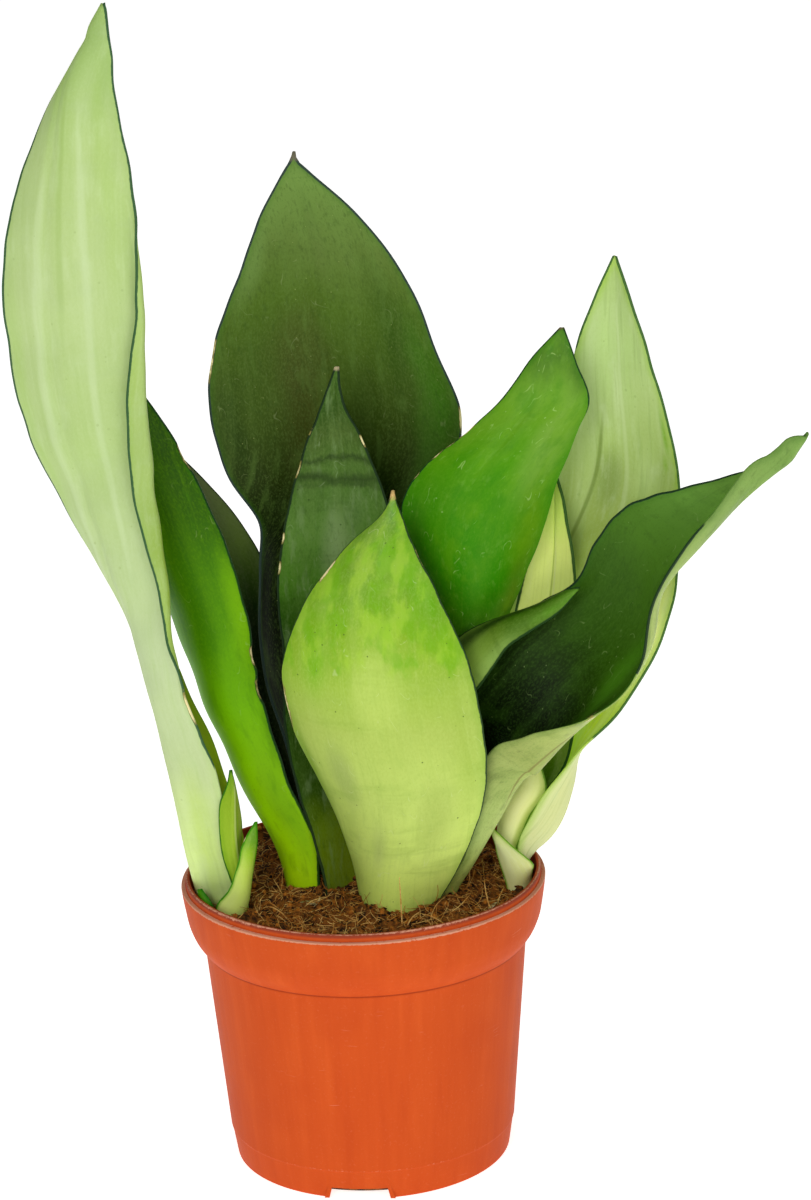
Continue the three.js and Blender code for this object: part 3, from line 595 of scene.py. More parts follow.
# The leaves. body thickens or thins the flesh, a low keel folds the blade along its midrib and a high
# one rounds it, and a crease is its place across at the foot and at the tip, where along the blade it
# starts and ends, its half width and its height in mm, above 0 towards the front.
leaves = {
    "leaf_tall_left": {  # the tallest leaf, its outer face forward and its right edge rolled over
        "slot": "leaf_pale", "body": 1.1, "keel": 1.8, "rolled": True,
        "stations": [
            ((-44.5, -3, 80), (-44, -12, 80), -7, 0, 2, 0),
            ((-45, 0, 92), (-44.5, -13, 92), -8.5, 0, 2, 0),
            ((-46, 0, 108), (-45, -14, 109), -11, 0, 2, 0),
            ((-49.5, 2, 133.5), (-47.5, -17, 135.5), -12, 0, 2, 0),
            ((-58, 3, 166.5), (-56.5, -21, 171), -9.5, 0, 2.5, 25),
            ((-66, 4, 185), (-59, -22, 188.5), -8, 0, 4.5, 110),
            ((-77.5, 2, 202), (-60, -22, 204.5), -6.5, 0, 5.5, 160),
            ((-90, 0, 224.5), (-62.5, -20, 234.5), -6, 0, 10, 165),
            ((-103, 0, 257), (-64.5, -18, 265.5), -6, 0, 9.8, 165),
            ((-107.5, 0, 303.5), (-64, -15, 305.5), -6, 0, 5, 160),
            ((-103.5, 0, 328), (-66, -13, 330), -6, 0, 3.6, 60),
            ((-97.5, 0, 344), (-68, -12, 346.5), -6, 0, 3, 0),
            ((-85.5, 0, 367.5), (-70.5, -10, 370), -6, 0, 2.5, 0),
            ((-79.6, -1, 375.5), (-70.4, -8.5, 378), -4.5, 0, 2, 0),
            ((-75.3, -1, 380.5), (-70.2, -8, 382.5), -3.5, 0, 1.5, 0),
            ((-73.8, -1, 385), (-70, -7, 387), -3, 0, 1, 0),
            ((-70.5, -5, 393.5), (-70, -6, 394), 0, 0, 0.5, 0),
        ],
        "creases": [(-0.1, -0.3, 0.3, 0.97, 0.1, -0.9), (-0.42, -0.3, 0.45, 0.95, 0.16, 0.5)],
        "look": {
            "seed": 1.0, "light": "#c9dba6", "deep": "#9fbb62", "speckColour": "#8fa860",
            "near": [(0.0, "#dcf390"), (0.08, "#d8f093"), (0.2, "#b9cb92"), (0.32, "#b8ca98"),
                     (0.45, "#afc586"), (0.56, "#abc47b"), (0.7, "#b3c986"), (0.85, "#abc479"),
                     (0.94, "#99b964"), (1.0, "#8aaa58")],
            "far": [(0.0, "#a9c460"), (0.3, "#a3c055"), (0.45, "#83a32d"), (0.56, "#9bb75c"),
                    (0.7, "#abc66d"), (0.85, "#9cbc5c"), (1.0, "#8db551")],
            "patches": [(-0.85, 0.6, 0.25, 0.25, 0.5, "#a6c767"), (0.8, 0.8, 0.25, 0.2, 0.4, "#a4c462"),
                        (0.1, 0.35, 0.6, 0.04, 0.3, "#9db184"), (0.3, 0.3, 0.5, 0.03, 0.25, "#9aae80"),
                        (0.7, 0.13, 0.3, 0.12, 0.5, "#b4d060")],
            # painted shade: the first line darkens the fold near the tip
            "lines": [(0.1, -0.05, 0.66, 0.94, 0.07, 0.35, "#93b058"),
                      (0.5, 0.3, 0.4, 0.9, 0.09, 0.25, "#cfe0b4"),
                      (-0.45, -0.35, 0.35, 0.85, 0.1, 0.25, "#cfe0b4")],
            "streaks": 0.16, "veins": 0.12, "marbling": 0.08, "cells": 0.1, "specks": 0.3,
            "streakSize": (9, 220, 30), "scars": [(1.2, 0.262, 1.0, 6), (-1.0, 0.585, 0.5, 4)],
            "softMargins": [(-1, 0.93, 1.05, 0.0), (-1, 0.4, 0.93, 1.7), (-1, -0.1, 0.4, 0.9),
                            (1, -0.1, 0.2, 0.3)],
            "mottle": [(1.6, 30, 0.5, 0.7, 0.16, "#9cba66"), (5, 18, 0.5, 0.72, 0.18, "#cddfb0"),
                       (9, 7, 0.5, 0.7, 0.14, "#a9bf88")],
            "glow": (3.0, 0.25, "#98b95c"), "marginColour": "#2c5434",
        },
    },
    "leaf_front_broad": {  # the broad leaf in front, its outer face forward
        "slot": "leaf_green", "body": 1.15, "keel": 2,
        "stations": [
            ((0, -10, 80), (21, -14, 80), -8),
            ((-1, -9, 92), (24, -18, 92), -10),
            ((-3.5, -3, 104.5), (33, -20, 109), -12),
            ((-10.5, -5, 127.5), (41, -24, 133), -12),
            ((-21.5, -9, 155), (41, -26, 156.5), -11),
            ((-23, -12, 177), (37, -26, 179), -9),
            ((-15, -14, 198), (29, -24, 199.5), -7),
            ((0, -16, 217.5), (20.5, -22, 218.5), -4),
            ((11.5, -18, 228.5), (17, -20, 228.5), -1.5),
            ((13.5, -19, 232.5), (15.5, -19, 232.5), -0.5),
            ((14.5, -19, 236), (15, -19, 236), 0),
        ],
        "creases": [(0.3, 0.35, 0.55, 1.0, 0.12, 0.5)],
        "look": {
            "seed": 2.0, "light": "#c3d977", "deep": "#86a93a", "speckColour": "#4f6a24",
            "near": [(0.0, "#b7cf56"), (0.1, "#d2e76c"), (0.22, "#d6ec77"), (0.35, "#bfd56b"),
                     (0.5, "#aac058"), (0.6, "#9cbb44"), (0.68, "#86af24"), (0.78, "#6c9d1d"),
                     (0.88, "#66961b"), (0.95, "#659426"), (1.0, "#6a9636")],
            "far": [(0.0, "#8fae45"), (0.5, "#8db442"), (1.0, "#5f9638")],
            "patches": [(0.85, 0.78, 0.28, 0.14, 0.9, "#62a600"),
                        (-0.62, 0.66, 0.26, 0.12, 0.85, "#74b005"),
                        (0.05, 0.6, 0.35, 0.14, 0.6, "#bdd468"), (0.85, 0.66, 0.22, 0.08, 0.6, "#88b808"),
                        (0.85, 0.42, 0.22, 0.25, 0.5, "#98b540"),
                        (-0.94, 0.43, 0.12, 0.15, 0.75, "#7fa02c"), (-0.5, 0.4, 0.2, 0.1, 0.45, "#8b9a60"),
                        (-0.2, 0.23, 0.2, 0.1, 0.4, "#8f9e66"), (0.2, 0.86, 0.25, 0.08, 0.4, "#86b83c"),
                        (0.1, 0.98, 0.8, 0.07, 0.7, "#5f8a4c"), (0.5, 0.3, 0.35, 0.12, 0.6, "#9cb050")],
            "mottle": [(8, 14, 0.44, 0.6, 0.6, "#6fae0c", 0.55), (6, 12, 0.46, 0.64, 0.5, "#a4cc3c", 0.55),
                       (12, 9, 0.48, 0.68, 0.22, "#9cb84e"), (2.4, 9, 0.5, 0.72, 0.14, "#8cae44"),
                       (3, 6, 0.56, 0.74, 0.3, "#5f9440", 0.75)],
            "scratches": (0.3, "#d8e6a8"), "streaks": 0.12, "veins": 0.14, "marbling": 0.25, "cells": 0.16,
            "specks": 0.75, "speckSpacing": 2.6, "speckRadius": 0.13,
            "scars": [(-0.95, 0.827, 1.2, 4), (-1.0, 0.53, 1.5, 9), (1.0, 0.85, 0.6, 3)],
            "softMargins": [(-1, 0.4, 0.62, 0.2)], "tip": (2.5, "#cfae6e"), "glow": (4.0, 0.35, "#78a626"),
        },
    },
    "leaf_twisted_right": {  # the leaf that twists out to the right, its dark inner face forward
        "slot": "leaf_dark", "body": 1, "keel": 2,
        "stations": [
            ((22, -1, 80), (23, -10, 80), 5, 0),
            ((22, -1, 92), (24, -13, 92), 6, 0),
            ((25, 2, 110), (33, -17, 107), 7, 3),
            ((32, 4, 130), (38.5, -20, 125.5), 10, 7),
            ((31, 3, 160.5), (44, -20, 146.5), 15, 21),
            ((43.5, 0, 173), (55.5, -26, 153.5), 13, 17),
            ((63, -4, 192.5), (74.5, -34, 161), 11.5, 8),
            ((73, -6, 198.5), (84.5, -37, 168.5), 9, 3),
            ((80, -9, 213.5), (92, -39, 181), 10, 4),
            ((88, -12, 224), (96, -40, 200.5), 9, 3),
            ((97.5, -16, 230), (106.5, -40, 219.5), 11, 4),
            ((110, -22, 234.5), (118.5, -41, 234.5), 9, 2),
            ((122.5, -28, 239.5), (126, -42, 244.5), 7, 0),
            ((134, -35, 245.5), (134, -45, 252), 5, -1),
            ((141, -41, 252), (140, -48, 257), 4, -1),
            ((145, -49, 258.5), (144.5, -50, 257.5), 0, 0),
        ],
        "creases": [(0.55, 0.35, 0.45, 0.95, 0.16, 0.5)],
        "look": {
            "seed": 3.0, "light": "#4f7a2a", "deep": "#1b3604", "speckColour": "#7f9a58",
            # painted shade: low down the near face runs near black, for the shade deep in the trough of the
            # fold
            "near": [(0.0, "#142806"), (0.3, "#071401"), (0.4, "#0a1601"), (0.48, "#1c3301"),
                     (0.55, "#2e5206"), (0.62, "#3b6214"), (0.72, "#4c771f"), (0.8, "#629133"),
                     (0.88, "#69933a"), (0.94, "#648939"), (1.0, "#688a44")],
            "far": [(0.0, "#c0cd6c"), (0.08, "#c4d565"), (0.16, "#c1d67c"), (0.27, "#a9b968"),
                    (0.38, "#a5b264"), (0.6, "#b7cb6b"), (0.8, "#839f53"), (1.0, "#789a4c")],
            "patches": [(0.45, 0.54, 0.4, 0.12, 0.7, "#488014"), (-0.6, 0.6, 0.35, 0.12, 0.3, "#375c12")],
            "lines": [(0.3, 0.98, 0.2, 0.5, 0.035, 0.7, "#7f7440")],
            "mottle": [(8, 14, 0.5, 0.7, 0.22, "#3f6a14"), (2, 4, 0.54, 0.72, 0.2, "#16300a")],
            "scratches": (0.35, "#86a45c"), "streaks": 0.12, "veins": 0.14, "marbling": 0.12, "cells": 0.2,
            "specks": 0.45, "speckRadius": 0.12, "speckSpacing": 2.4,
            "scars": [(1.0, 0.93, 0.8, 5), (0.95, 0.5, 0.9, 3)],
            "softMargins": [(1, 0.0, 0.6, 0.25), (1, 0.78, 1.05, 0.1), (-1, 0.9, 1.05, 0.2)],
            "glow": (3.0, 0.3, "#2b6014"), "marginColour": "#16301c",
        },
    },
    "leaf_green_right": {  # the bright green leaf right of the middle
        "slot": "leaf_green", "body": 1, "keel": 2,
        "stations": [
            ((13, 5, 80), (19, 7, 80), -3),
            ((13, 6, 92), (21, 9, 92), -4),
            ((18, 10, 126), (29, 14, 124), -6),
            ((23, 12, 161), (42, 15, 155), -8),
            ((22, 9, 196), (51, 7.5, 184), -9),
            ((17.5, 3, 223), (60, 1, 207), -9),
            ((25.5, 2, 238), (68, -2, 231.5), -8),
            ((39.5, 0, 249.5), (75.5, -2, 250), -5),
            ((50.5, 0, 259), (79, -2, 258.5), -3),
            ((60.5, 0, 272.5), (75.5, -1, 271), -2),
            ((70.5, 0, 283), (71.5, 0, 283), 0),
        ],
        "creases": [(0.1, -0.3, 0.62, 1.0, 0.1, -0.6)],
        "look": {
            "seed": 4.0, "light": "#6da026", "deep": "#2f7000", "speckColour": "#a5c474",
            "near": [(0.0, "#356602"), (0.5, "#3a7301"), (0.6, "#348900"), (0.7, "#3f8800"),
                     (0.78, "#4c9000"), (0.85, "#61961a"), (0.9, "#699c29"), (0.95, "#4d7723"),
                     (1.0, "#4a7527")],
            "far": [(0.0, "#4d7d18"), (0.6, "#5f932c"), (1.0, "#5a8c34")],
            "patches": [(0.6, 0.82, 0.45, 0.16, 0.85, "#78a23c"),
                        (0.75, 0.68, 0.35, 0.09, 0.75, "#66940a"),
                        (0.9, 0.55, 0.35, 0.12, 0.75, "#5f7a08"), (-0.1, 0.56, 0.4, 0.08, 0.4, "#2f7400")],
            "mottle": [(9, 16, 0.5, 0.68, 0.4, "#649c10"), (7, 12, 0.52, 0.7, 0.35, "#2f7c04"),
                       (2, 4, 0.54, 0.72, 0.22, "#7cac40")],
            "scratches": (0.5, "#a9cc70"), "streaks": 0.12, "veins": 0.14, "marbling": 0.12, "cells": 0.16,
            "specks": 0.4, "speckRadius": 0.11, "tip": (0.6, "#6f6444"),
            "scars": [(-1.0, 0.77, 0.8, 3), (-1.0, 0.83, 0.9, 3), (-1.0, 0.8, 0.6, 2),
                      (-1.0, 0.72, 0.6, 2)],
            "softMargins": [(1, 0.0, 0.86, 0.25)], "glow": (3.0, 0.3, "#2f7c08"), "marginColour": "#163a1c",
        },
    },
    "leaf_pale_right": {  # the pale leaf on the right, its channelled inner face forward
        "slot": "leaf_pale", "body": 1, "keel": 1.6,
        "stations": [
            ((47.5, 13, 80), (50.5, -1, 80), 4),
            ((48, 13, 92), (51.5, -3, 92), 4.5),
            ((48.5, 13, 98.5), (51.5, -4, 98.5), 4),
            ((49.5, 13, 104), (52, -5, 106.5), 7.5),
            ((52.5, 15, 114), (56, -6, 116.5), 11.8),
            ((55, 15, 127), (63, -6, 128), 12.2),
            ((56.5, 15, 140), (72, -6, 139), 10),
            ((57.5, 15, 156), (86.5, -6, 153.5), 7.5),
            ((51.5, 14.5, 176), (101, -6, 178), 8),
            ((54.5, 13.5, 200.5), (107, -4, 203), 8),
            ((67, 14, 228), (108, 0, 229), 7),
            ((72.5, 14, 255), (103, 4, 257), 5),
            ((78.5, 13, 280.5), (96.5, 6, 280.5), 4),
            ((84.5, 12, 294.5), (92, 8, 295), 2),
            ((88.5, 10, 303.5), (89.5, 10, 303.5), 0),
        ],
        "creases": [(-0.45, -0.45, 0.3, 0.76, 0.07, -1.0), (-0.4, -0.2, 0.62, 0.98, 0.1, -0.35),
                    (-0.25, -0.3, 0.3, 0.9, 0.12, 0.5)],
        "look": {
            "seed": 5.0, "light": "#c9dba2", "deep": "#8ba44c", "speckColour": "#86a850",
            "near": [(0.0, "#8aa834"), (0.2, "#9ec622"), (0.3, "#adcf3a"), (0.42, "#c9dd78"),
                     (0.52, "#b1c864"), (0.6, "#9ab053"), (0.66, "#a8c066"), (0.72, "#a8c26b"),
                     (0.79, "#b2cb7b"), (0.86, "#bbd786"), (0.93, "#b5cf83"), (1.0, "#a0bc68")],
            "far": [(0.0, "#d8dd9d"), (0.2, "#d2d994"), (0.4, "#cfdc9d"), (0.7, "#bdd089"),
                    (1.0, "#a9c56d")],
            # painted light and shade: the near-white patch low on the right lights the face where it curves
            # away under the twisted leaf, and the dark patch left of the middle is painted shade
            "patches": [(0.0, 0.8, 0.16, 0.06, 0.7, "#c6da9a"), (-0.2, 0.68, 0.3, 0.06, 0.7, "#7a9046"),
                        (0.45, 0.68, 0.35, 0.06, 0.7, "#c3dc8c"), (0.88, 0.74, 0.08, 0.05, 0.8, "#78aa20"),
                        (0.8, 0.7, 0.08, 0.02, 0.6, "#82b02c"), (0.9, 0.45, 0.35, 0.16, 1.0, "#f4fca0"),
                        (0.75, 0.33, 0.4, 0.06, 0.85, "#bcd82c")],
            # painted shade: the first line darkens the valley of the fold
            "lines": [(-0.98, -0.1, 0.48, 0.78, 0.05, 0.6, "#68802a"),
                      (0.1, 0.1, 0.6, 0.95, 0.06, 0.3, "#cfe0a8")],
            "mottle": [(1.6, 30, 0.5, 0.7, 0.3, "#8fac58"), (4, 14, 0.55, 0.72, 0.25, "#cfe0ac")],
            "streaks": 0.2, "veins": 0.16, "marbling": 0.06, "cells": 0.1, "specks": 0.3,
            # the through-light entry is a painted glow low on the face
            "softMargins": [(-1, -0.1, 0.87, 0.2), (1, -0.1, 0.3, 0.1)], "paintedGlow": (0.3, 0.56),
            "glow": (3.2, 0.5, "#98c224"), "marginColour": "#3c6430", "marginWidth": 0.4,
        },
    },
    "leaf_young_right": {  # the young yellow-green leaf in front of the pale one
        "slot": "leaf_pale", "body": 0.8, "keel": 1.6,
        "stations": [
            ((47.5, 8.5, 80), (48.5, 7.5, 80), 0),
            ((48, 8.5, 92), (49.5, 7.5, 92), 0),
            ((48, 9, 99), (50, 7.5, 99), 0.5),
            ((49.5, 11, 112), (54.5, 7, 112), 1.5),
            ((51, 11, 133), (68.5, 4, 132), 3),
            ((50, 10, 145), (72, 3, 144.5), 4),
            ((50, 10, 160), (73.5, 3, 158.5), 4),
            ((53, 9, 182), (73.5, 3, 179.5), 4),
            ((57, 9, 197.5), (73.5, 3, 197), 3),
            ((62, 8, 216.5), (71.5, 4, 218), 2),
            ((67, 6, 236), (67.5, 6, 236), 0),
        ],
        "creases": [(0.05, 0.0, 0.2, 1.0, 0.1, -0.9)],
        "look": {
            "seed": 6.0, "light": "#dbe3a0", "deep": "#a3b44a", "speckColour": "#8fa64a",
            "near": [(0.0, "#4c7808"), (0.3, "#4f7c06"), (0.42, "#6f9414"), (0.55, "#cada64"),
                     (0.72, "#dfec83"), (0.82, "#d8e57a"), (0.9, "#c5de63"), (1.0, "#a1c445")],
            "far": [(0.0, "#d5dfa0"), (1.0, "#b5c868")],
            "lines": [(-0.1, 0.0, 0.5, 1.0, 0.07, 0.6, "#8fa53c"),
                      (0.12, 0.12, 0.5, 1.0, 0.08, 0.4, "#e0e6a8")],
            "streaks": 0.2, "veins": 0.18, "marbling": 0.05, "cells": 0.08, "specks": 0.2,
            # the through-light entry here is a faint painted glow over the whole leaf
            "paintedGlow": (0.06, 1.5), "glow": (1.4, 0.3, "#8fae3a"), "marginColour": "#1f4a1c",
            "marginWidth": 0.6,
        },
    },
    "leaf_inner_right": {  # the short rolled leaf at the foot of the right shoot
        "slot": "leaf_pale", "body": 0.9, "keel": 2,
        "stations": [
            ((47.5, 5.5, 80), (49, 1, 80), -0.5),
            ((48, 5.5, 92), (50, 1, 92), -0.5),
            ((47.5, 5, 98), (51, 0, 98), -1),
            ((46, 4, 105.5), (51.5, -2, 106), -2.5),
            ((46.5, 4, 116), (56.5, -3, 117.5), -4),
            ((51.5, 4, 127.5), (62, -2, 126.5), -4),
            ((55, 4, 135.5), (60, 0, 135), -2),
            ((56, 3, 145), (56.5, 3, 145), 0),
        ],
        "look": {
            "seed": 7.0, "light": "#e0e6b4", "deep": "#b4c070", "speckColour": "#9bab60",
            "near": [(0.0, "#e4eaa2"), (0.6, "#e7e99b"), (1.0, "#bccb72")],
            "far": [(0.0, "#8fa834"), (1.0, "#6f9018")],
            "patches": [(-0.75, 0.5, 0.3, 0.5, 0.85, "#7f9320"), (0.85, 0.5, 0.25, 0.5, 0.7, "#b0c048")],
            "streaks": 0.25, "veins": 0.16, "marbling": 0.05, "cells": 0.08, "specks": 0.2,
            # the through-light entry here is a faint painted glow over the whole leaf
            "paintedGlow": (0.08, 1.5), "glow": (1.4, 0.7, "#6f9c0c"), "margin": 0.7,
            "marginColour": "#3c7404",
        },
    },
    "sheath_right": {  # the cream sheath around the foot of the right shoot
        "slot": "sheath_cream", "body": 0.7, "keel": 2,
        "stations": [
            ((47.5, -6, 81), (54.5, -5, 81), -1),
            ((48, -7, 92), (55.5, -6, 92), -2),
            ((46.5, -8, 99.5), (56.5, -7, 99.5), -3.5),
            ((45, -8, 106), (56.5, -9, 102.5), -3),
            ((44.5, -8, 110.5), (49.5, -10, 109.5), -1.5),
            ((43, -8, 115.5), (43.5, -8, 115), 0),
        ],
        "look": {
            "seed": 8.0, "light": "#f0f2d0", "deep": "#cdd48c", "speckColour": "#b0a878",
            "near": [(0.0, "#f3f59e"), (0.4, "#f1f598"), (0.8, "#d4dc94"), (1.0, "#b4c45c")],
            "far": [(0.0, "#d0d890"), (1.0, "#9cb84a")], "streaks": 0.25, "veins": 0.18, "marbling": 0.05,
            "cells": 0.08, "specks": 0.15, "glow": (1.6, 0.85, "#86b41c"), "margin": 0.8,
            "marginColour": "#5f9c0c",
        },
    },
    "leaf_hooked_small": {  # the small hooked leaf in front of the twisted one
        "slot": "leaf_dark", "body": 0.8, "keel": 1.8,
        "stations": [
            ((14, -3, 80), (15, -8, 80), -1),
            ((15, -3, 92), (17, -9, 92), -1.5),
            ((19, -2, 124), (22.5, -13, 125.5), -3),
            ((25.5, -2, 158.5), (29.5, -15, 157.5), -3),
            ((34, -3, 179.5), (41, -16, 168), -3),
            ((51, -7, 189), (51, -16, 181.5), -3),
            ((64, -12, 195), (62.5, -17, 189), -2),
            ((70, -15, 199), (68, -18, 193.5), -1),
            ((74, -17, 200.5), (73, -17, 199), 0),
        ],
        "look": {
            "seed": 9.0, "light": "#8aa84a", "deep": "#446414", "speckColour": "#2f4a12",
            "near": [(0.0, "#6f8c2c"), (0.6, "#8aab3e"), (0.72, "#88aa41"), (0.78, "#608221"),
                     (0.84, "#3f6808"), (0.92, "#416c0e"), (1.0, "#51821c")],
            "far": [(0.0, "#3f6a0c"), (0.7, "#4f8a0c"), (1.0, "#5fae14")],
            # painted shade: the near-black second patch darkens the upper half, where the inner face lies in
            # shade
            "patches": [(0.5, 0.93, 0.5, 0.1, 0.8, "#4c8412"), (-0.6, 0.82, 0.5, 0.26, 1.0, "#1a3604"),
                        (0.9, 0.76, 0.6, 0.12, 0.6, "#92b45c")],
            "streaks": 0.15, "veins": 0.16, "marbling": 0.3, "cells": 0.14, "specks": 0.6,
            "speckSpacing": 1.6, "glow": (1.2, 0.4, "#2c5408"), "marginColour": "#1c3a14",
            "marginWidth": 0.6,
        },
    },
    "leaf_dark_banded": {  # the narrow dark leaf with faint bands, its petiole behind the front leaf
        "slot": "leaf_dark", "body": 1, "keel": 2.2,
        "stations": [
            ((-12, -7, 80), (9, 2, 80), 5),
            ((-12, -8, 92), (10, 3, 92), 6),
            ((-15.5, -3, 109.5), (11.5, 4, 108.5), 6),
            ((-20.5, 0, 128), (15, 5, 128.5), 6),
            ((-24, 4, 148), (17, 5, 149), 6),
            ((-23.5, 8, 173), (19, 5, 174), 5),
            ((-24.5, 9, 195), (18.5, 5, 197), 4),
            ((-20, 9, 222.5), (13.5, 5, 222), 3),
            ((-13, 9, 245), (6, 6, 245), 2),
            ((-6, 9, 261.5), (-1, 8, 262), 0.5),
            ((-2.5, 8.5, 270.5), (-1.5, 8.5, 270.5), 0),
        ],
        "creases": [(0.1, 0.2, 0.5, 1.0, 0.15, -0.5)],
        "look": {
            "seed": 10.0, "light": "#6f8c48", "deep": "#2c4a10", "speckColour": "#22380c",
            "near": [(0.0, "#7a8c14"), (0.1, "#6f830c"), (0.18, "#627c08"), (0.25, "#304e02"),
                     (0.4, "#244804"), (0.55, "#2c5408"), (0.62, "#47781a"), (0.7, "#557e2d"),
                     (0.78, "#4b6e27"), (0.87, "#40581d"), (0.93, "#2f4c0f"), (1.0, "#385814")],
            # painted sheen: the first patch is a grey-green sheen across the middle of the blade
            "patches": [(-0.05, 0.67, 0.4, 0.12, 0.85, "#86a066"), (0.3, 0.74, 0.25, 0.05, 0.4, "#5f7d44"),
                        (0.1, 0.885, 0.5, 0.03, 0.3, "#5d7638")],
            "bands": [(0.83, 0.009, 0.7, 0.05), (0.806, 0.016, 0.75, -0.03), (0.79, 0.008, 0.4, 0.02)],
            "bandColour": "#223410",
            "mottle": [(3, 12, 0.5, 0.68, 0.35, "#7c9660"), (1.5, 4, 0.52, 0.7, 0.3, "#2c4c10")],
            "scratches": (0.3, "#93a878"), "streaks": 0.12, "veins": 0.14, "marbling": 0.25, "cells": 0.22,
            "specks": 0.5, "speckRadius": 0.12,
            "scars": [(-1.0, 0.82, 0.6, 2.6), (-1.0, 0.9, 0.7, 3), (-1.0, 0.7, 0.6, 2),
                      (-1.0, 0.65, 0.6, 2), (1.0, 0.92, 0.7, 4), (1.0, 0.87, 0.5, 2)],
            "tip": (0.8, "#c4b48c"), "glow": (2.2, 0.2, "#2f5c14"), "marginColour": "#1c3018",
            "marginWidth": 0.4,
        },
    },
    "leaf_dark_broad": {  # the big dark leaf at the back on its narrow stalk
        "slot": "leaf_dark", "body": 1.1, "keel": 2.2,
        "stations": [
            ((-10, 8, 80), (-5, 17, 80), -1),
            ((-11, 7, 92), (-4, 19, 92), -1),
            ((-17.5, 8, 111), (-4.5, 21, 107), 1),
            ((-23.5, 9, 138.5), (-10, 23, 134.5), 3),
            ((-31, 13, 171.5), (-17, 25, 169), 4),
            ((-30.5, 17, 200), (-14, 25, 198.5), 5),
            ((-30, 20, 215.5), (6, 25, 209.5), 6),
            ((-39, 22, 230), (29, 23, 225), 7),
            ((-44.5, 22, 255.5), (38, 21, 248.5), 8),
            ((-42, 22, 276), (31.5, 21, 268.5), 7),
            ((-33, 23, 298), (22.5, 21, 293.5), 5),
            ((-24.5, 24, 319), (5.5, 23, 318.5), 3),
            ((-16.5, 25, 332.5), (-9.5, 25, 332.5), 1),
            ((-14.5, 25, 335.5), (-12.5, 25, 335.5), 0.5),
            ((-13.5, 25, 338.5), (-13, 25, 338.5), 0),
        ],
        "creases": [(0.0, -0.2, 0.55, 1.0, 0.12, -0.6), (0.5, 0.4, 0.5, 0.85, 0.25, 0.5)],
        "look": {
            "seed": 11.0, "light": "#63803a", "deep": "#2b4608", "speckColour": "#94a25c",
            # painted shade: the stalk and the foot of the blade run near black, for the shade deep between
            # the other leaves
            "near": [(0.0, "#050c01"), (0.36, "#030701"), (0.46, "#050d01"), (0.53, "#131e02"),
                     (0.58, "#233003"), (0.65, "#354909"), (0.72, "#3d550f"), (0.8, "#486416"),
                     (0.88, "#5b742f"), (0.96, "#6d8d40"), (1.0, "#66863e")],
            "far": [(0.0, "#2c3f10"), (0.6, "#3f5c18"), (1.0, "#4c6c26")],
            "patches": [(-0.25, 0.68, 0.4, 0.15, 0.75, "#434818"),
                        (0.62, 0.77, 0.3, 0.12, 0.75, "#2c4a02"), (0.85, 0.68, 0.25, 0.14, 0.9, "#366a02"),
                        (0.25, 0.65, 0.22, 0.1, 0.5, "#293c04"), (-0.9, 0.86, 0.2, 0.1, 0.6, "#6c8c44"),
                        (-0.85, 0.64, 0.2, 0.1, 0.6, "#223a02"), (0.0, 0.89, 0.16, 0.08, 0.3, "#5c6c34")],
            "mottle": [(5, 20, 0.52, 0.7, 0.3, "#5c7c34"), (1.2, 3, 0.52, 0.7, 0.3, "#2c4410")],
            "scratches": (0.3, "#8c9c64"), "streaks": 0.1, "veins": 0.12, "marbling": 0.1, "cells": 0.26,
            "specks": 0.6, "speckSpacing": 2.0, "speckRadius": 0.11,
            "scars": [(-1.0, 0.728, 0.5, 7), (1.0, 0.67, 0.5, 5)], "tip": (2.5, "#6a6652"),
            "glow": (3.0, 0.35, "#3c6c1c"), "marginColour": "#2c3c38", "marginWidth": 0.36,
        },
    },
    "leaf_green_left": {  # the grass-green leaf behind the tall one
        "slot": "leaf_green", "body": 1.1, "keel": 2,
        "stations": [
            ((-22, 10, 80), (-16, -1, 80), -4),
            ((-23, 11, 92), (-15, -3, 92), -5),
            ((-27, 14, 104.5), (-15, -1, 107), -6),
            ((-38.5, 17, 130.5), (-24, 1, 131.5), -8),
            ((-51.5, 18, 158.5), (-31.5, 3, 162), -8),
            ((-62.5, 18, 190.5), (-35.5, 5, 191.5), -7),
            ((-75.5, 16, 222.5), (-44, 8, 220.5), -6),
            ((-79.5, 16, 246.5), (-55.5, 10, 246.5), -5),
            ((-80, 15, 269), (-69, 12, 268.5), -2),
            ((-79, 14, 285), (-78, 14, 285), 0),
        ],
        "creases": [(-0.2, -0.1, 0.3, 0.9, 0.3, 0.5)],
        "look": {
            "seed": 12.0, "light": "#7ebc04", "deep": "#3a7800", "speckColour": "#2f5a08",
            # painted light and shade: the bright lower blade is partly light shining through and bounced onto
            # the leaf, the darker upper blade partly shade beside the tall leaf
            "near": [(0.0, "#9cc20c"), (0.1, "#add905"), (0.2, "#a4e202"), (0.3, "#84c201"),
                     (0.38, "#72b401"), (0.48, "#539101"), (0.6, "#427a02"), (0.7, "#346202"),
                     (0.8, "#2c5402"), (0.9, "#284c02"), (1.0, "#2a500a")],
            "far": [(0.0, "#6a8a10"), (1.0, "#44740c")],
            "patches": [(0.9, 0.52, 0.3, 0.14, 0.85, "#7cb801"), (0.15, 0.52, 0.35, 0.12, 0.5, "#387002"),
                        (0.95, 0.32, 0.12, 0.08, 0.6, "#4e8a02"), (-0.6, 0.25, 0.5, 0.15, 0.3, "#5f9a02"),
                        (0.75, 0.2, 0.5, 0.16, 0.7, "#6c9c06"), (-0.8, 0.07, 0.5, 0.12, 0.7, "#769808")],
            "mottle": [(3, 12, 0.52, 0.7, 0.3, "#3f7c00")], "scratches": (0.25, "#a9c86c"), "streaks": 0.12,
            "veins": 0.12, "marbling": 0.06, "cells": 0.16, "specks": 0.35, "speckRadius": 0.11,
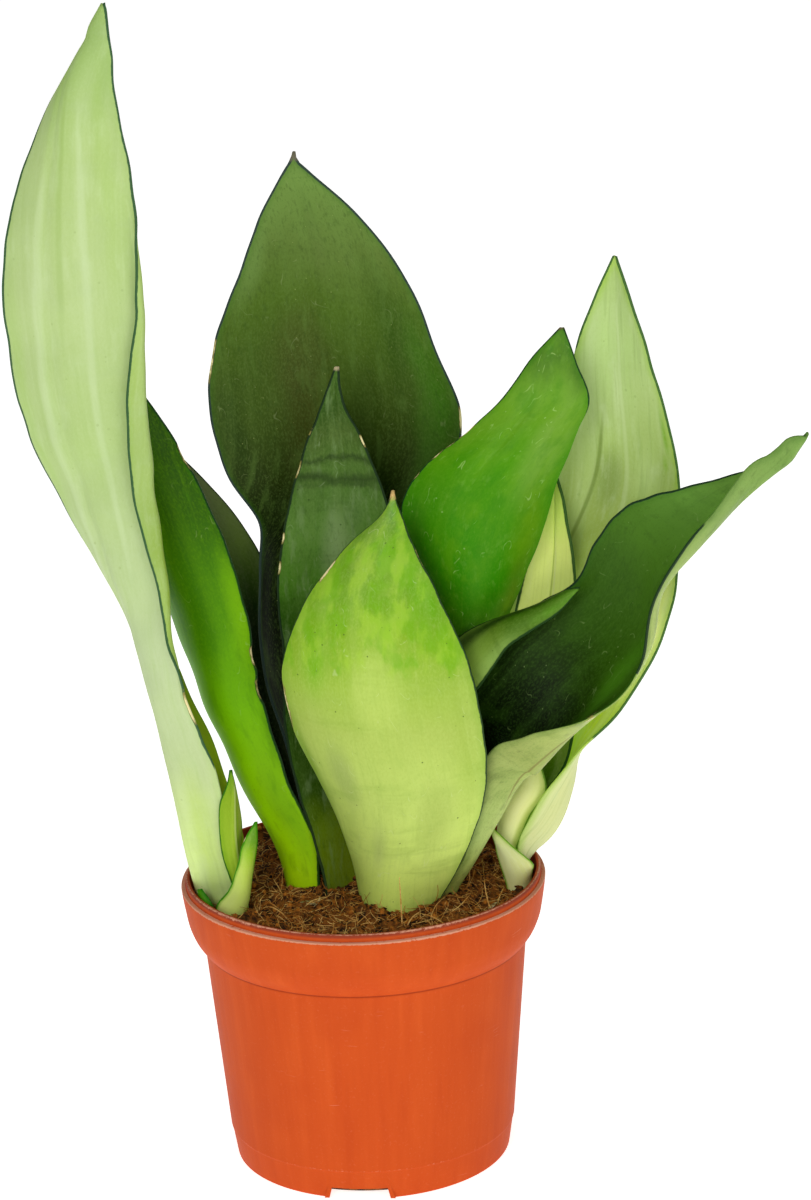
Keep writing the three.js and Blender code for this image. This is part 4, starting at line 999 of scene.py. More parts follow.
            "scars": [(1.0, 0.79, 1.0, 4), (1.0, 0.455, 1.2, 4), (1.0, 0.4, 1.1, 4)],
            "glow": (1.4, 0.25, "#2f7a10"), "marginColour": "#123a10", "marginWidth": 0.6,
        },
    },
    "leaf_grey_left": {  # the grey-green leaf behind the grass-green one
        "slot": "leaf_dark", "body": 0.9, "keel": 2,
        "stations": [
            ((-16, 10, 80), (-11, 14, 80), -1),
            ((-17, 12, 92), (-10, 16, 92), -1.5),
            ((-28, 21, 117), (-18.5, 22, 118), -3),
            ((-40.5, 27, 155), (-27, 28, 157.5), -3),
            ((-46.5, 29, 183), (-28, 30, 189), -3),
            ((-55, 29, 211), (-34, 30, 208.5), -3),
            ((-60, 28, 227), (-46.5, 29, 226.5), -2),
            ((-61.5, 27, 243), (-60.5, 27, 243), 0),
        ],
        "look": {
            "seed": 13.0, "light": "#76805a", "deep": "#3a4820", "speckColour": "#333a20",
            # painted shade: the lower blade runs near black, for the shade between the leaves
            "near": [(0.0, "#0c1c02"), (0.55, "#122602"), (0.62, "#1a3604"), (0.68, "#34500a"),
                     (0.77, "#556c26"), (0.88, "#5f6c3e"), (1.0, "#5c6a44")],
            "streaks": 0.12, "veins": 0.16, "marbling": 0.1, "cells": 0.16, "specks": 0.3,
            "glow": (2.0, 0.2, "#3a4a1c"), "marginColour": "#22301c",
        },
    },
    "leaf_inner_left": {  # the olive leaf folded inside the tall one's foot
        "slot": "leaf_green", "body": 0.8, "keel": 2,
        "stations": [
            ((-43, -3, 80), (-41.5, -8, 80), 2),
            ((-43, -3, 92), (-41, -9, 92), 3),
            ((-45, -2, 115.5), (-44, -11, 117), 4),
            ((-51, -3, 139), (-50, -13, 141), 4.5),
            ((-58, -5, 164.5), (-57, -12, 165.5), 3),
            ((-61.5, -9, 183.5), (-60.5, -9, 183.5), 0),
        ],
        "look": {
            "seed": 14.0, "light": "#8ea22c", "deep": "#5f7c0c", "speckColour": "#55701c",
            "near": [(0.0, "#86a412"), (0.4, "#84a00f"), (0.75, "#6c8c0a"), (1.0, "#4c7008")],
            "far": [(0.0, "#8ca81c"), (0.5, "#7f9a14"), (1.0, "#5f7c14")], "streaks": 0.15, "veins": 0.2,
            "marbling": 0.08, "cells": 0.12, "specks": 0.3, "glow": (1.2, 0.3, "#5f8f0c"),
            "marginColour": "#2c5a0c", "marginWidth": 0.45,
        },
    },
    "leaf_bud_left": {  # the folded young leaf at the foot of the left shoot
        "slot": "leaf_green", "body": 0.6, "keel": 1.3,
        "stations": [
            ((-40.5, -15, 80), (-39, -12.5, 80), -0.5),
            ((-41, -16.5, 92), (-39.5, -14, 92), -1),
            ((-46, -17, 114.5), (-40.5, -13, 110.5), -2.5),
            ((-46, -18, 130), (-39.5, -15, 123), -2.5),
            ((-43, -18, 138), (-40.5, -17, 134.5), -1),
            ((-42, -18, 142.5), (-41.5, -18, 142.5), 0),
        ],
        "creases": [(0.1, 0.05, 0.15, 1.0, 0.14, 0.7)],
        "look": {
            "seed": 15.0, "light": "#bcd04c", "deep": "#84a41c", "speckColour": "#55701c",
            "near": [(0.0, "#b7dc21"), (0.5, "#98bc2c"), (0.85, "#83a61e"), (1.0, "#4f8a10")],
            "far": [(0.0, "#93a65c"), (1.0, "#8d9e50")],
            "patches": [(0.75, 0.6, 0.45, 0.6, 0.8, "#95a34c"), (-0.8, 0.5, 0.3, 0.5, 0.5, "#6fa008")],
            "lines": [(0.1, 0.08, 0.1, 0.95, 0.07, 0.6, "#c9d884")], "streaks": 0.15, "veins": 0.18,
            "marbling": 0.06, "cells": 0.1, "specks": 0.2, "glow": (1.0, 0.4, "#5f9a0c"),
            "marginColour": "#2f6a0c", "marginWidth": 0.4,
        },
    },
    "sheath_left": {  # the pale sheath in front of the left shoot, its tip bright green
        "slot": "leaf_green", "body": 0.7, "keel": 2,
        "stations": [
            ((-45.5, -19, 82), (-39.5, -17.5, 82), -2),
            ((-48, -22, 97), (-39.5, -19, 92), -3),
            ((-44.5, -21.5, 101), (-38, -19, 97), -3),
            ((-41, -21, 110), (-36.5, -19, 106), -2),
            ((-39, -20, 117), (-35, -19, 115), -1),
            ((-34.5, -19, 124.5), (-34, -19, 124.5), 0),
        ],
        "look": {
            "seed": 16.0, "light": "#cfdc8c", "deep": "#9fb84a", "speckColour": "#5f7a2c",
            "near": [(0.0, "#def08c"), (0.4, "#d3e971"), (0.62, "#c9e658"), (0.76, "#9ccc24"),
                     (0.86, "#64a008"), (1.0, "#3c8204")],
            "far": [(0.0, "#b3c46a"), (0.8, "#6fa80c"), (1.0, "#3c8204")], "streaks": 0.2, "veins": 0.2,
            "marbling": 0.08, "cells": 0.1, "specks": 0.5, "glow": (1.6, 0.85, "#66a808"),
            "marginColour": "#3f8a0c", "scars": [(-1.0, 0.84, 0.6, 1.5)],
        },
    },
    "scale_left": {  # the short green scale over the rim on the left
        "slot": "leaf_green", "body": 0.6, "keel": 2,
        "stations": [
            ((-51.5, -17.5, 84), (-50, -19.5, 84), -0.5),
            ((-52.5, -17.5, 93), (-49.5, -20.5, 93), -0.5),
            ((-53.5, -17, 97), (-50.5, -20, 97), -1),
            ((-54.5, -16.5, 100.5), (-53.5, -17.5, 101), -0.5),
        ],
        "look": {
            "seed": 17.0, "light": "#6fb81c", "deep": "#3c7a08", "speckColour": "#3c6a14",
            "near": [(0.0, "#86b41c"), (0.5, "#5ca008"), (1.0, "#3c8404")], "streaks": 0.2, "veins": 0.2,
            "marbling": 0.08, "cells": 0.12, "specks": 0.2, "glow": (1.2, 0.5, "#2f7a08"),
            "marginColour": "#2c7a0c", "marginWidth": 0.4,
        },
    },
}

# Pot: injection-moulded polypropylene in terracotta orange, one piece with a deep collar.
# To the eye: matte, waxy plastic with faint upright flow streaks, a few scuffs and a pale rim, partly worn
# and partly a painted highlight.
pot = {
    "height": 97, "rim": 61, "foot": 46.3, "wall": 1.3, "bead": 2.5,
    "collar": 21.5, "notchCount": 3, "notchWidth": 21, "notchHeight": 4, "drain": 3, "drainSides": 28,
    "tunnelEnd": 0.48, "drainPlace": 0.72, "segments": 192,
    "firstNotch": -96, "footStep": 10.8, "lipWaves": 5, "lipWave": 0.18, "sharpAngle": 35,
    "ior": 1.49, "roughness": 0.52, "specular": 0.04,
    "colour": "#c8501e", "streakColour": "#d25a24", "shadeColour": "#bc451a", "wornAndHighlightColour": "#dca083",
    # the inside colour is painted shade on the inner wall, the crease colour a painted shadow under the
    # collar, and the worn colour also a painted highlight along the pale edges
    "insideShadeColour": "#9a3f26", "beadColour": "#8a3a28", "creaseShadowColour": "#8c2e12", "dustColour": "#d9825c",
    "streakWidth": 5.0, "streakStretch": 40, "cloud": 30, "grain": 0.9,
    "scuffSpacing": 14, "scuffGroup": (12, 12, 6), "grainHeight": 0.05, "streakHeight": 0.12,
}


def potPlastic(p):
    material, tree, shader = newMaterial("mouldedPolypropylene")
    place = addNode(tree, "ShaderNodeTexCoord", out=3)
    # upright streaks: noise that is drawn out along the height
    narrow, tall = p["streakWidth"] * mm, p["streakWidth"] * p["streakStretch"] * mm
    streaks = tissueGrain(tree, place, (narrow, narrow, tall), 2.0, 3, 0.6)
    clouds = tissueGrain(tree, place, (p["cloud"] * mm,) * 3, 5.0, 2, 0.5)
    grain = tissueGrain(tree, place, (p["grain"] * mm,) * 3, 1.0, 3, 0.7)
    colour = tintWhere(tree, linear(p["colour"]), streaks, 0.45, 0.75, 0.55, linear(p["streakColour"]))
    colour = tintWhere(tree, colour, streaks, 0.48, 0.25, 0.4, linear(p["shadeColour"]))
    colour = tintWhere(tree, colour, clouds, 0.45, 0.7, 0.35, linear(p["shadeColour"]))
    colour = tintWhere(tree, colour, grain, 0.55, 0.8, 0.22, linear(p["dustColour"]))
    colour = tintWhere(tree, colour, grain, 0.45, 0.2, 0.25, linear(p["shadeColour"]))
    # where on the pot: 1 on the inside (painted shade), 1 along the pale edges (wear and painted highlights),
    # 1 on the darker bead above the lip, and below 0 in the painted shadow line under the collar
    part = addNode(tree, "ShaderNodeAttribute", {"attribute_name": "potPlace"}, None, 1)
    inside, wornAndHighlit, darkBeadAndCreaseShadow = addNode(tree, "ShaderNodeSeparateXYZ", None, {0: part}, None)
    # painted shade: the inner wall is darker where little light reaches it
    colour = tintWhere(tree, colour, inside, 0.3, 0.9, 0.85, linear(p["insideShadeColour"]))
    colour = tintWhere(tree, colour, darkBeadAndCreaseShadow, 0.3, 0.9, 0.9, linear(p["beadColour"]))
    # painted shadow: a dark line in the crease under the collar
    colour = tintWhere(tree, colour, darkBeadAndCreaseShadow, -0.15, -0.9, 0.75, linear(p["creaseShadowColour"]))
    # pale edges: wear along the lip and the bead, and painted highlights on the lip, on the collar's lower
    # edge and on the foot step
    paleEdgeWearAndHighlight = addNode(tree, "ShaderNodeMath", {"operation": "MULTIPLY"}, {0: wornAndHighlit, 1: grain})
    colour = tintWhere(tree, colour, paleEdgeWearAndHighlight, 0.24, 0.42, 0.85, linear(p["wornAndHighlightColour"]))
    # scuffs: short pale scratches that lie nearly level
    flattened = addNode(tree, "ShaderNodeVectorMath", {"operation": "MULTIPLY"},
                        {0: place, 1: [1000 / p["scuffSpacing"] * k for k in (0.5, 0.5, 6.0)]})
    scratch = addNode(tree, "ShaderNodeTexVoronoi", {"feature": "DISTANCE_TO_EDGE"},
                      {"Vector": flattened, "Scale": 1.0})
    patchy = tissueGrain(tree, place, [k * mm for k in p["scuffGroup"]], 9.0, 2, 0.6)
    mask = addNode(tree, "ShaderNodeMapRange", None, {0: patchy, 1: 0.66, 2: 0.76})
    thin = addNode(tree, "ShaderNodeMapRange", None, {0: scratch, 1: 0.03, 2: 0.0})
    mask = addNode(tree, "ShaderNodeMath", {"operation": "MULTIPLY"}, {0: mask, 1: thin})
    colour = tintWhere(tree, colour, mask, 0.0, 1.0, 0.5, linear(p["wornAndHighlightColour"]))
    tree.links.new(colour, shader.inputs["Base Color"])
    gloss = addNode(tree, "ShaderNodeMapRange", None,
                    {0: grain, 1: 0.3, 2: 0.7, 3: p["roughness"] - 0.06, 4: p["roughness"] + 0.08})
    tree.links.new(gloss, shader.inputs["Roughness"])
    relief = addNode(tree, "ShaderNodeMath", {"operation": "MULTIPLY"}, {0: grain, 1: p["grainHeight"] * mm})
    relief = addNode(tree, "ShaderNodeMath", {"operation": "MULTIPLY_ADD"},
                     {0: streaks, 1: p["streakHeight"] * mm, 2: relief})
    bump = addNode(tree, "ShaderNodeBump", None, {"Strength": 1.0, "Distance": 1.0, "Height": relief})
    tree.links.new(bump, shader.inputs["Normal"])
    shader.inputs["IOR"].default_value = p["ior"]
    shader.inputs["Specular IOR Level"].default_value = p["specular"]
    return material


# The outline with each corner rounded: (radius, height, corner radius), up the outside, down the inside.
def potOutline(p):
    h, rim, foot, wall = p["height"], p["rim"], p["foot"], p["wall"]
    collarFoot = h - p["collar"]
    corners = [
        (0, 0, 0), (foot, 0, 0.8), (foot + 1.6, 10.2, 0.2), (foot + 1.9, 10.7, 0.2),
        (foot + 2.06, 12.5, 0), (rim - 7.12, collarFoot - 1.3, 0), (rim - 7, collarFoot, 0.4),
        (rim - 5.9, collarFoot + 1, 0.9), (rim - 3.6, collarFoot + 4.2, 3),
        (rim - 1.9, h - 13, 4), (rim - 1.2, h - 9, 3), (rim - 0.4, h - 4, 2), (rim, h - 0.5, 0.3),
        (rim - 0.2, h, 0.2), (rim - 1.5, h + 0.1, 0.2),
        (rim - 1.7, h + p["bead"], 0.5), (rim - 3, h + p["bead"], 0.5), (rim - 3, h - 1.5, 0.4),
        (rim - 1.6, h - 3, 0.6), (rim - 1.2 - wall, h - 9, 3), (rim - 3.8 - wall, collarFoot + 4.6, 3),
        (rim - 7 - wall, collarFoot + 0.4, 1.5), (foot + 1.9 - wall, 11, 2), (foot - wall, wall, 1.2),
        (0, wall, 0),
    ]
    outline = []
    for i, (x, z, radius) in enumerate(corners):
        here = Vector((x, z))
        if radius == 0:
            outline.append(here)
            continue
        before = Vector(corners[i - 1][:2]) - here
        after = Vector(corners[i + 1][:2]) - here
        reach = min(radius * 0.8, before.length * 0.45, after.length * 0.45)
        start, end = here + before.normalized() * reach, here + after.normalized() * reach
        outline += [start.lerp(here, k).lerp(here.lerp(end, k), k) for k in (0, 0.25, 0.5, 0.75, 1)]
    return outline


def notchAngles(p):
    return [math.radians(p["firstNotch"] + 360 * i / p["notchCount"]) for i in range(p["notchCount"])]


def cutter(name, vertices, faces):
    mesh = bpy.data.meshes.new(name)
    mesh.from_pydata(vertices, [], faces)
    tool = bpy.data.objects.new(name, mesh)
    bpy.context.scene.collection.objects.link(tool)
    return tool


# Prism bars that make the raised tunnels in the floor and, a wall thinner, the notches in the foot.
def tunnelBars(p, name, inner, outer, width, height, base):
    vertices, faces = [], []
    section = [(-width / 2, base), (width / 2, base), (width / 2 - height * 0.3, height),
               (-width / 2 + height * 0.3, height)]
    for a in notchAngles(p):
        along, side = Vector((math.cos(a), math.sin(a), 0)), Vector((-math.sin(a), math.cos(a), 0))
        first = len(vertices)
        for reach in (inner, outer):
            vertices += [(along * reach + side * x + Vector((0, 0, z))) * mm for x, z in section]
        faces += [[first + k for k in quad] for quad in
                  ((3, 2, 1, 0), (4, 5, 6, 7), (0, 1, 5, 4), (1, 2, 6, 5), (2, 3, 7, 6), (3, 0, 4, 7))]
    return cutter(name, vertices, faces)


def drainPins(p):
    vertices, faces, sides = [], [], p["drainSides"]
    for a in notchAngles(p):
        reach, first = p["foot"] * p["drainPlace"], len(vertices)
        for z in (-1, 11):
            for k in range(sides):
                turn = k * 2 * math.pi / sides
                vertices.append((Vector((reach * math.cos(a) + p["drain"] * math.cos(turn),
                                         reach * math.sin(a) + p["drain"] * math.sin(turn), z))) * mm)
        faces.append([first + k for k in reversed(range(sides))])
        faces.append([first + sides + k for k in range(sides)])
        faces += [[first + k, first + (k + 1) % sides, first + sides + (k + 1) % sides, first + sides + k]
                  for k in range(sides)]
    return cutter("drainPins", vertices, faces)


# Faces of a closed turned shape: its first point, then a ring of points for each turn, then its last.
def turnedFaces(segments, ring):
    last = 1 + segments * ring
    faces = []
    for j in range(segments):
        a, b = 1 + j * ring, 1 + (j + 1) % segments * ring
        faces.append((0, b, a))
        faces += [(a + k, b + k, b + k + 1, a + k + 1) for k in range(ring - 1)]
        faces.append((a + ring - 1, b + ring - 1, last))
    return faces


# Cuts the tunnels and the drain holes behind the notches.
def cutPot(p, piece):
    inner = p["foot"] * p["tunnelEnd"]
    cuts = [
        (tunnelBars(p, "tunnelRoofs", inner - p["wall"], p["foot"] - 0.5, p["notchWidth"] + 2 * p["wall"],
                    p["notchHeight"] + p["wall"], 0.2), "UNION"),
        (tunnelBars(p, "tunnels", inner, p["foot"] + 9, p["notchWidth"], p["notchHeight"], -1), "DIFFERENCE"),
        (drainPins(p), "DIFFERENCE"),
    ]
    for tool, operation in cuts:
        cut = piece.modifiers.new("cut", "BOOLEAN")
        cut.operation = operation
        cut.solver = "EXACT"
        cut.object = tool
        bpy.context.view_layer.update()
        done = bpy.data.meshes.new_from_object(piece.evaluated_get(bpy.context.evaluated_depsgraph_get()))
        piece.modifiers.clear()
        piece.data = done
        bpy.data.objects.remove(tool)


# Keeps on each point whether it is inside (painted shade), on a pale edge (wear and painted highlight), on
# the darker bead or in the crease under the collar (painted shadow).
def markPot(p, mesh, outline):
    h, rim, collarFoot = p["height"], p["rim"], p["height"] - p["collar"]
    top = next(i for i, corner in enumerate(outline) if corner.y > h + p["bead"] - 0.6)
    heights, radii = [corner.y for corner in outline[:top]], [corner.x for corner in outline[:top]]
    places = []
    for v in mesh.vertices:
        r, z = math.hypot(v.co.x, v.co.y) / mm, v.co.z / mm
        inside = 1.0 if r < float(np.interp(z, heights, radii)) - 0.7 and z > 1 else 0.0
        # the lip and the bead's top edge: wear and a painted highlight
        wearAndHighlight = math.exp(-((z - h + 0.1) / 0.6) ** 2) if r > rim - 1.4 else 0.0
        if r > rim - 2.3:
            wearAndHighlight = max(wearAndHighlight, 0.8 * math.exp(-((z - h - p["bead"]) / 0.5) ** 2))
        # the bead above the lip, drawn darker
        darkBeadAndCreaseShadow = 1.0 if z > h + 0.6 and r > rim - 2.2 else 0.0
        if inside < 0.5:
            # painted highlights on the collar's lower edge and on the foot step
            wearAndHighlight = max(wearAndHighlight, 0.4 * math.exp(-((z - collarFoot - 2.2) / 0.8) ** 2))
            wearAndHighlight = max(wearAndHighlight, 0.5 * math.exp(-((z - p["footStep"]) / 0.3) ** 2))
            # painted shadow line under the collar
            darkBeadAndCreaseShadow -= math.exp(-((z - collarFoot - 0.1) / 0.45) ** 2)
        places.append((inside, wearAndHighlight, darkBeadAndCreaseShadow))
    layer = mesh.attributes.new("potPlace", "FLOAT_VECTOR", "POINT")
    layer.data.foreach_set("vector", np.array(places, np.float32).reshape(-1))


def makePot(p):
    outline = potOutline(p)
    vertices = [(0, 0, outline[0].y * mm)]
    for j in range(p["segments"]):
        a = j * 2 * math.pi / p["segments"]
        for r, z in outline[1:-1]:
            # the lip isn't quite even: it waves by a few tenths of a millimetre
            lift = p["lipWave"] * math.sin(a * p["lipWaves"] + 1) * max(0, (z - 90) / 10)
            vertices.append((r * math.cos(a) * mm, r * math.sin(a) * mm, (z + lift) * mm))
    vertices.append((0, 0, outline[-1].y * mm))
    faces = turnedFaces(p["segments"], len(outline) - 2)
    piece = addPiece("pot.moulded", vertices, faces, potPlastic(p), "pot")
    cutPot(p, piece)
    piece.data.name = "pot.moulded"
    for edge in piece.data.edges:
        edge.use_edge_sharp = False
    piece.data.set_sharp_from_angle(angle=math.radians(p["sharpAngle"]))
    markPot(p, piece.data, outline)


makePot(pot)
print("pot ready")

# Soil: peat and coconut fibre, dried at the top. To the eye: dark brown crumbs under a felt of
# tan and rusty fibres a few tenths of a millimetre thick.
soil = {
    "level": 92, "gap": 0.42, "rings": 110, "segments": 300,
    "reach": pot["rim"] - 4.5,  # how far from the pot's axis loose crumbs and fibres lie
    "crumbSize": 3.0, "crumbHeight": 1.8, "fineGrain": 0.4, "roughness": 0.9, "specular": 0.2,
    "fibres": 3000, "fibreLength": (3, 12), "fibreRadius": (0.08, 0.22), "fibreSteps": 8,
    "crumbs": 1500, "crumbRadius": (0.35, 1.4),
    "dark": "#241204", "brown": "#8c541c", "rust": "#b87024", "tan": "#cf9040", "straw": "#f0c474",
    "heaps": [(-33, 47, 6.5, 11)],  # where the filling stands higher: x, y, height, half width
}


# The top of the filling, the same mound and waves as in the part's source.
def soilHeight(x, y):
    mound = 2.2 * (1 - (x * x + y * y) / 3300)
    for atX, atY, height, halfWidth in soil["heaps"]:
        mound += height * math.exp(-((x - atX) ** 2 + (y - atY) ** 2) / halfWidth ** 2)
    return (soil["level"] + mound + 0.9 * math.sin(x * 0.31 + 0.8) * math.cos(y * 0.27)
            + 0.6 * math.sin(x * 0.13 - y * 0.47 + 2) + 0.4 * math.cos(x * 0.71 + y * 0.53))


def crumbHeight(x, y):
    size = soil["crumbSize"]
    lumps = noise.noise(Vector((x / size, y / size, 0)))
    fine = noise.noise(Vector((x / size * 2.7, y / size * 2.7, 5)))
    return soilHeight(x, y) + soil["crumbHeight"] * (lumps + 0.5 * fine - 0.2)


def peatMaterial(name, low, high, size, seed):
    material, tree, shader = newMaterial(name)
    place = addNode(tree, "ShaderNodeTexCoord", out=3)
    patches = tissueGrain(tree, place, (size * mm,) * 3, seed, 3, 0.6)
    colour = tintWhere(tree, linear(low), patches, 0.35, 0.65, 1.0, linear(high))
    fine = tissueGrain(tree, place, (soil["fineGrain"] * mm,) * 3, seed + 4, 2, 0.6)
    colour = tintWhere(tree, colour, fine, 0.45, 0.2, 0.6, linear(soil["dark"]))
    tree.links.new(colour, shader.inputs["Base Color"])
    shader.inputs["Roughness"].default_value = soil["roughness"]
    shader.inputs["Specular IOR Level"].default_value = soil["specular"]
    return material


def makeSoil(s):
    h, rim, foot, wall = pot["height"], pot["rim"], pot["foot"], pot["wall"]
    side = [(0, wall + 0.3), (foot - wall - 1.5, wall + 0.3), (foot - wall, 3), (foot + 1.9 - wall, 11),
            (rim - 7 - wall, h - pot["collar"] + 0.4), (rim - 3.8 - wall, h - pot["collar"] + 4.6),
            (rim - 1.2 - wall, h - 9)]
    topRadius = rim - 1.4 - wall - 0.6
    outline = [(max(r - s["gap"], 0), z, False) for r, z in side]
    outline += [(topRadius * (1 - k / s["rings"]), 0, True) for k in range(s["rings"])]
    vertices = [(0, 0, outline[0][1] * mm)]
    for j in range(s["segments"]):
        a = j * 2 * math.pi / s["segments"]
        for r, z, top in outline[1:]:
            x, y = r * math.cos(a), r * math.sin(a)
            vertices.append((x * mm, y * mm, (crumbHeight(x, y) if top else z) * mm))
    vertices.append((0, 0, crumbHeight(0, 0) * mm))
    faces = turnedFaces(s["segments"], len(outline) - 1)
    return addPiece("soil.peat", vertices, faces, peatMaterial("driedPeat", s["dark"], s["brown"], 3.0, 1.0),
                    "soil")


makeSoil(soil)


def headed(heading, climb):
    return Vector((math.cos(heading) * math.cos(climb), math.sin(heading) * math.cos(climb), math.sin(climb)))


# The path of one fibre and its radius: it starts anywhere on the soil, wanders and sinks back.
def fibrePath(rng, lift):
    r, a = soil["reach"] * math.sqrt(rng.random()), rng.uniform(0, 2 * math.pi)
    x, y = r * math.cos(a), r * math.sin(a)
    length = rng.uniform(*soil["fibreLength"]) * rng.uniform(0.5, 1)
    radius = rng.uniform(*soil["fibreRadius"])
    heading, climb = rng.uniform(0, 2 * math.pi), rng.gauss(0.05, lift)
    turn, drop = rng.gauss(0, 0.35), rng.gauss(-0.1, 0.15)
    point = Vector((x, y, crumbHeight(x, y) + rng.uniform(-0.4, 0.7)))
    path = [point]
    for _ in range(soil["fibreSteps"] - 1):
        heading += turn + rng.gauss(0, 0.15)
        climb += drop * 0.5 + rng.gauss(0, 0.12)
        point = point + headed(heading, climb) * length / (soil["fibreSteps"] - 1)
        floor = soilHeight(point.x, point.y) - 1.2
        path.append(Vector((point.x, point.y, max(point.z, floor))))
    return path, radius


# A closed tube along a path, thinner towards its end.
def addTube(vertices, faces, path, radius, sides=3):
    first, steps = len(vertices), len(path)
    for i, p in enumerate(path):
        ahead = (path[min(i + 1, steps - 1)] - path[max(i - 1, 0)]).normalized()
        side = ahead.cross(Vector((0, 0, 1)) if abs(ahead.z) < 0.9 else Vector((1, 0, 0))).normalized()
        up = side.cross(ahead)
        width = radius * (1 - 0.6 * i / steps)
        for k in range(sides):
            spin = k * 2 * math.pi / sides
            vertices.append((p + side * width * math.cos(spin) + up * width * math.sin(spin)) * mm)
    for i in range(steps - 1):
        a, b = first + i * sides, first + (i + 1) * sides
        faces += [(a + k, a + (k + 1) % sides, b + (k + 1) % sides, b + k) for k in range(sides)]
    faces.append(tuple(first + k for k in reversed(range(sides))))
    faces.append(tuple(first + (steps - 1) * sides + k for k in range(sides)))


# Fibres: thin bent tubes that lie on the soil, none of them running through a leaf.
def makeFibres(name, count, low, high, seed, lift, obstacle):
    rng = random.Random(seed)
    vertices, faces = [], []
    for _ in range(count):
        path, radius = fibrePath(rng, lift)
        tooFar = any(math.hypot(p.x, p.y) > soil["reach"] for p in path)
        crossing = any(obstacle.ray_cast(p * mm, (q - p).normalized(), (q - p).length * mm)[0] is not None
                       for p, q in zip(path, path[1:]) if (q - p).length > 1e-6)
        if not (tooFar or crossing):
            addTube(vertices, faces, path, radius)
    return addPiece(name, vertices, faces, peatMaterial("coconutFibre_" + name, low, high, 8.0, seed * 1.0))


# Crumbs: small rough lumps of peat, each a bent twenty-sided grain.
def makeCrumbs(name, count, seed):
    rng = random.Random(seed)
    golden = (1 + math.sqrt(5)) / 2
    corners = [Vector(c).normalized() for c in (
        (-1, golden, 0), (1, golden, 0), (-1, -golden, 0), (1, -golden, 0),
        (0, -1, golden), (0, 1, golden), (0, -1, -golden), (0, 1, -golden),
        (golden, 0, -1), (golden, 0, 1), (-golden, 0, -1), (-golden, 0, 1))]
    sides = ((0, 11, 5), (0, 5, 1), (0, 1, 7), (0, 7, 10), (0, 10, 11), (1, 5, 9), (5, 11, 4), (11, 10, 2),
             (10, 7, 6), (7, 1, 8), (3, 9, 4), (3, 4, 2), (3, 2, 6), (3, 6, 8), (3, 8, 9), (4, 9, 5),
             (2, 4, 11), (6, 2, 10), (8, 6, 7), (9, 8, 1))
    vertices, faces = [], []
    for _ in range(count):
        r, a = soil["reach"] * math.sqrt(rng.random()), rng.uniform(0, 2 * math.pi)
        x, y = r * math.cos(a), r * math.sin(a)
        radius = rng.uniform(*soil["crumbRadius"])
        stretch = Vector((rng.uniform(0.6, 1.4), rng.uniform(0.6, 1.4), rng.uniform(0.5, 1.0)))
        centre = Vector((x, y, crumbHeight(x, y) + radius * 0.2))
        first = len(vertices)
        vertices += [(centre + c * stretch * radius * rng.uniform(0.75, 1.25)) * mm for c in corners]
        faces += [tuple(first + k for k in side) for side in sides]
    return addPiece(name, vertices, faces, peatMaterial("peatCrumb", soil["dark"], soil["rust"], 4.0, 6.0))


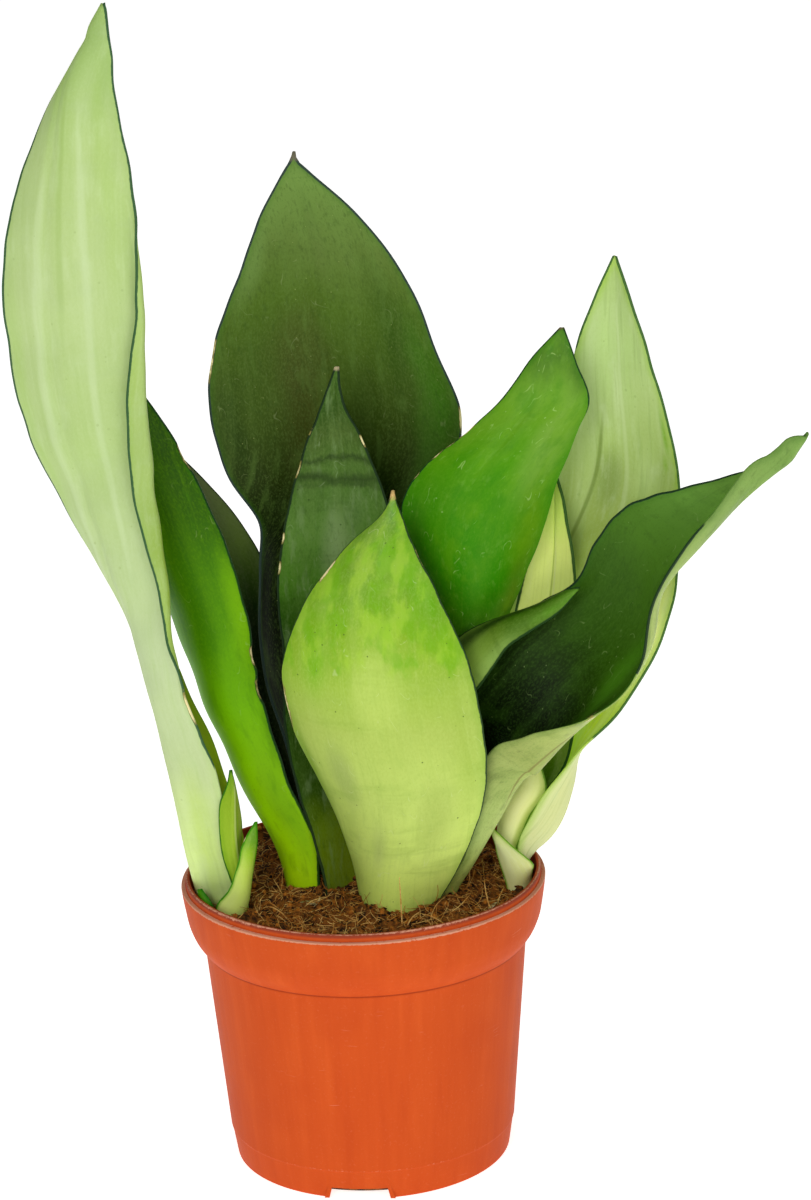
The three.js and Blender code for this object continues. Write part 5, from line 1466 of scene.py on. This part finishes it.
# Shreds: dry husk scraps and stiff single fibres that stand out of the soil, each a thin bent strip.
# A strip has a place on the soil, a heading and a climb in degrees, its length, width and thickness,
# and how far it bends over its length.
shreds = {
    "bends": 12, "sunk": 0.6, "huskDark": "#8a6a34", "huskPale": "#e6d8a4",
    "husk": [  # scraps of old leaf base, a few tenths of a millimetre thick
        ((-21, -17), 10, 12, 7, 3.2, 0.35, 40), ((-17, -18.5), -25, 30, 5, 2.2, 0.3, -50),
        ((-10.5, -2.5), 80, 62, 6, 3.6, 0.4, 35), ((41, -27), 60, 20, 6, 1.6, 0.3, 30),
    ],
    "fibre": [  # stiff coconut fibres
        ((12.5, -37), 95, 82, 16, 0.45, 0.4, 12), ((14, -38), 40, 60, 7, 0.3, 0.3, 60),
        ((42, -26), 120, 55, 11, 0.4, 0.35, -30), ((44, -20), 70, 48, 9, 0.35, 0.3, 45),
        ((-25, -27), 150, 50, 8, 0.35, 0.3, 50), ((-4, -36), 20, 40, 8, 0.35, 0.3, 60),
        ((27, -37), 170, 45, 9, 0.35, 0.3, 40), ((-36, -14), 60, 50, 8, 0.35, 0.3, 50),
    ],
}


def makeShreds(name, strips, low, high, seed):
    vertices, faces, bends = [], [], shreds["bends"]
    for (x, y), heading, climb, length, width, thickness, bend in strips:
        heading, climb = math.radians(heading), math.radians(climb)
        point = Vector((x, y, crumbHeight(x, y) - shreds["sunk"]))
        first = len(vertices)
        for i in range(bends + 1):
            lean = climb - math.radians(bend) * i / bends
            ahead = headed(heading, lean)
            side = Vector((-math.sin(heading), math.cos(heading), 0))
            up = ahead.cross(side)
            half = width / 2 * (1 - 0.75 * (i / bends) ** 3) * (1 + 0.12 * math.sin(i * 2.3 + x))
            for across, rise in ((-1, -1), (1, -1), (1, 1), (-1, 1)):
                vertices.append((point + side * half * across + up * thickness / 2 * rise) * mm)
            point = point + ahead * length / bends
        for i in range(bends):
            a, b = first + i * 4, first + (i + 1) * 4
            faces += [(a + k, a + (k + 1) % 4, b + (k + 1) % 4, b + k) for k in range(4)]
        faces.append([first + k for k in (3, 2, 1, 0)])
        faces.append([first + bends * 4 + k for k in range(4)])
    return addPiece(name, vertices, faces, peatMaterial(name.replace(".", "_"), low, high, 2.0, seed))


leafPieces = [makeLeaf(node, leaf) for node, leaf in leaves.items()]
print("leaves ready:", len(leafPieces))

allVertices, allFaces = [], []
for leafPiece in leafPieces:
    first = len(allVertices)
    allVertices += [v.co for v in leafPiece.data.vertices]
    allFaces += [tuple(first + i for i in face.vertices) for face in leafPiece.data.polygons]
leafTree = BVHTree.FromPolygons(allVertices, allFaces)
makeFibres("fibres.tan", soil["fibres"], soil["tan"], soil["straw"], 21, 0.4, leafTree)
makeFibres("fibres.rust", soil["fibres"], soil["brown"], soil["rust"], 22, 0.25, leafTree)
makeCrumbs("crumbs.peat", soil["crumbs"], 23)
makeShreds("shreds.husk", shreds["husk"], shreds["huskDark"], shreds["huskPale"], 24.0)
makeShreds("shreds.fibre", shreds["fibre"], soil["tan"], soil["straw"], 25.0)
print("soil ready")
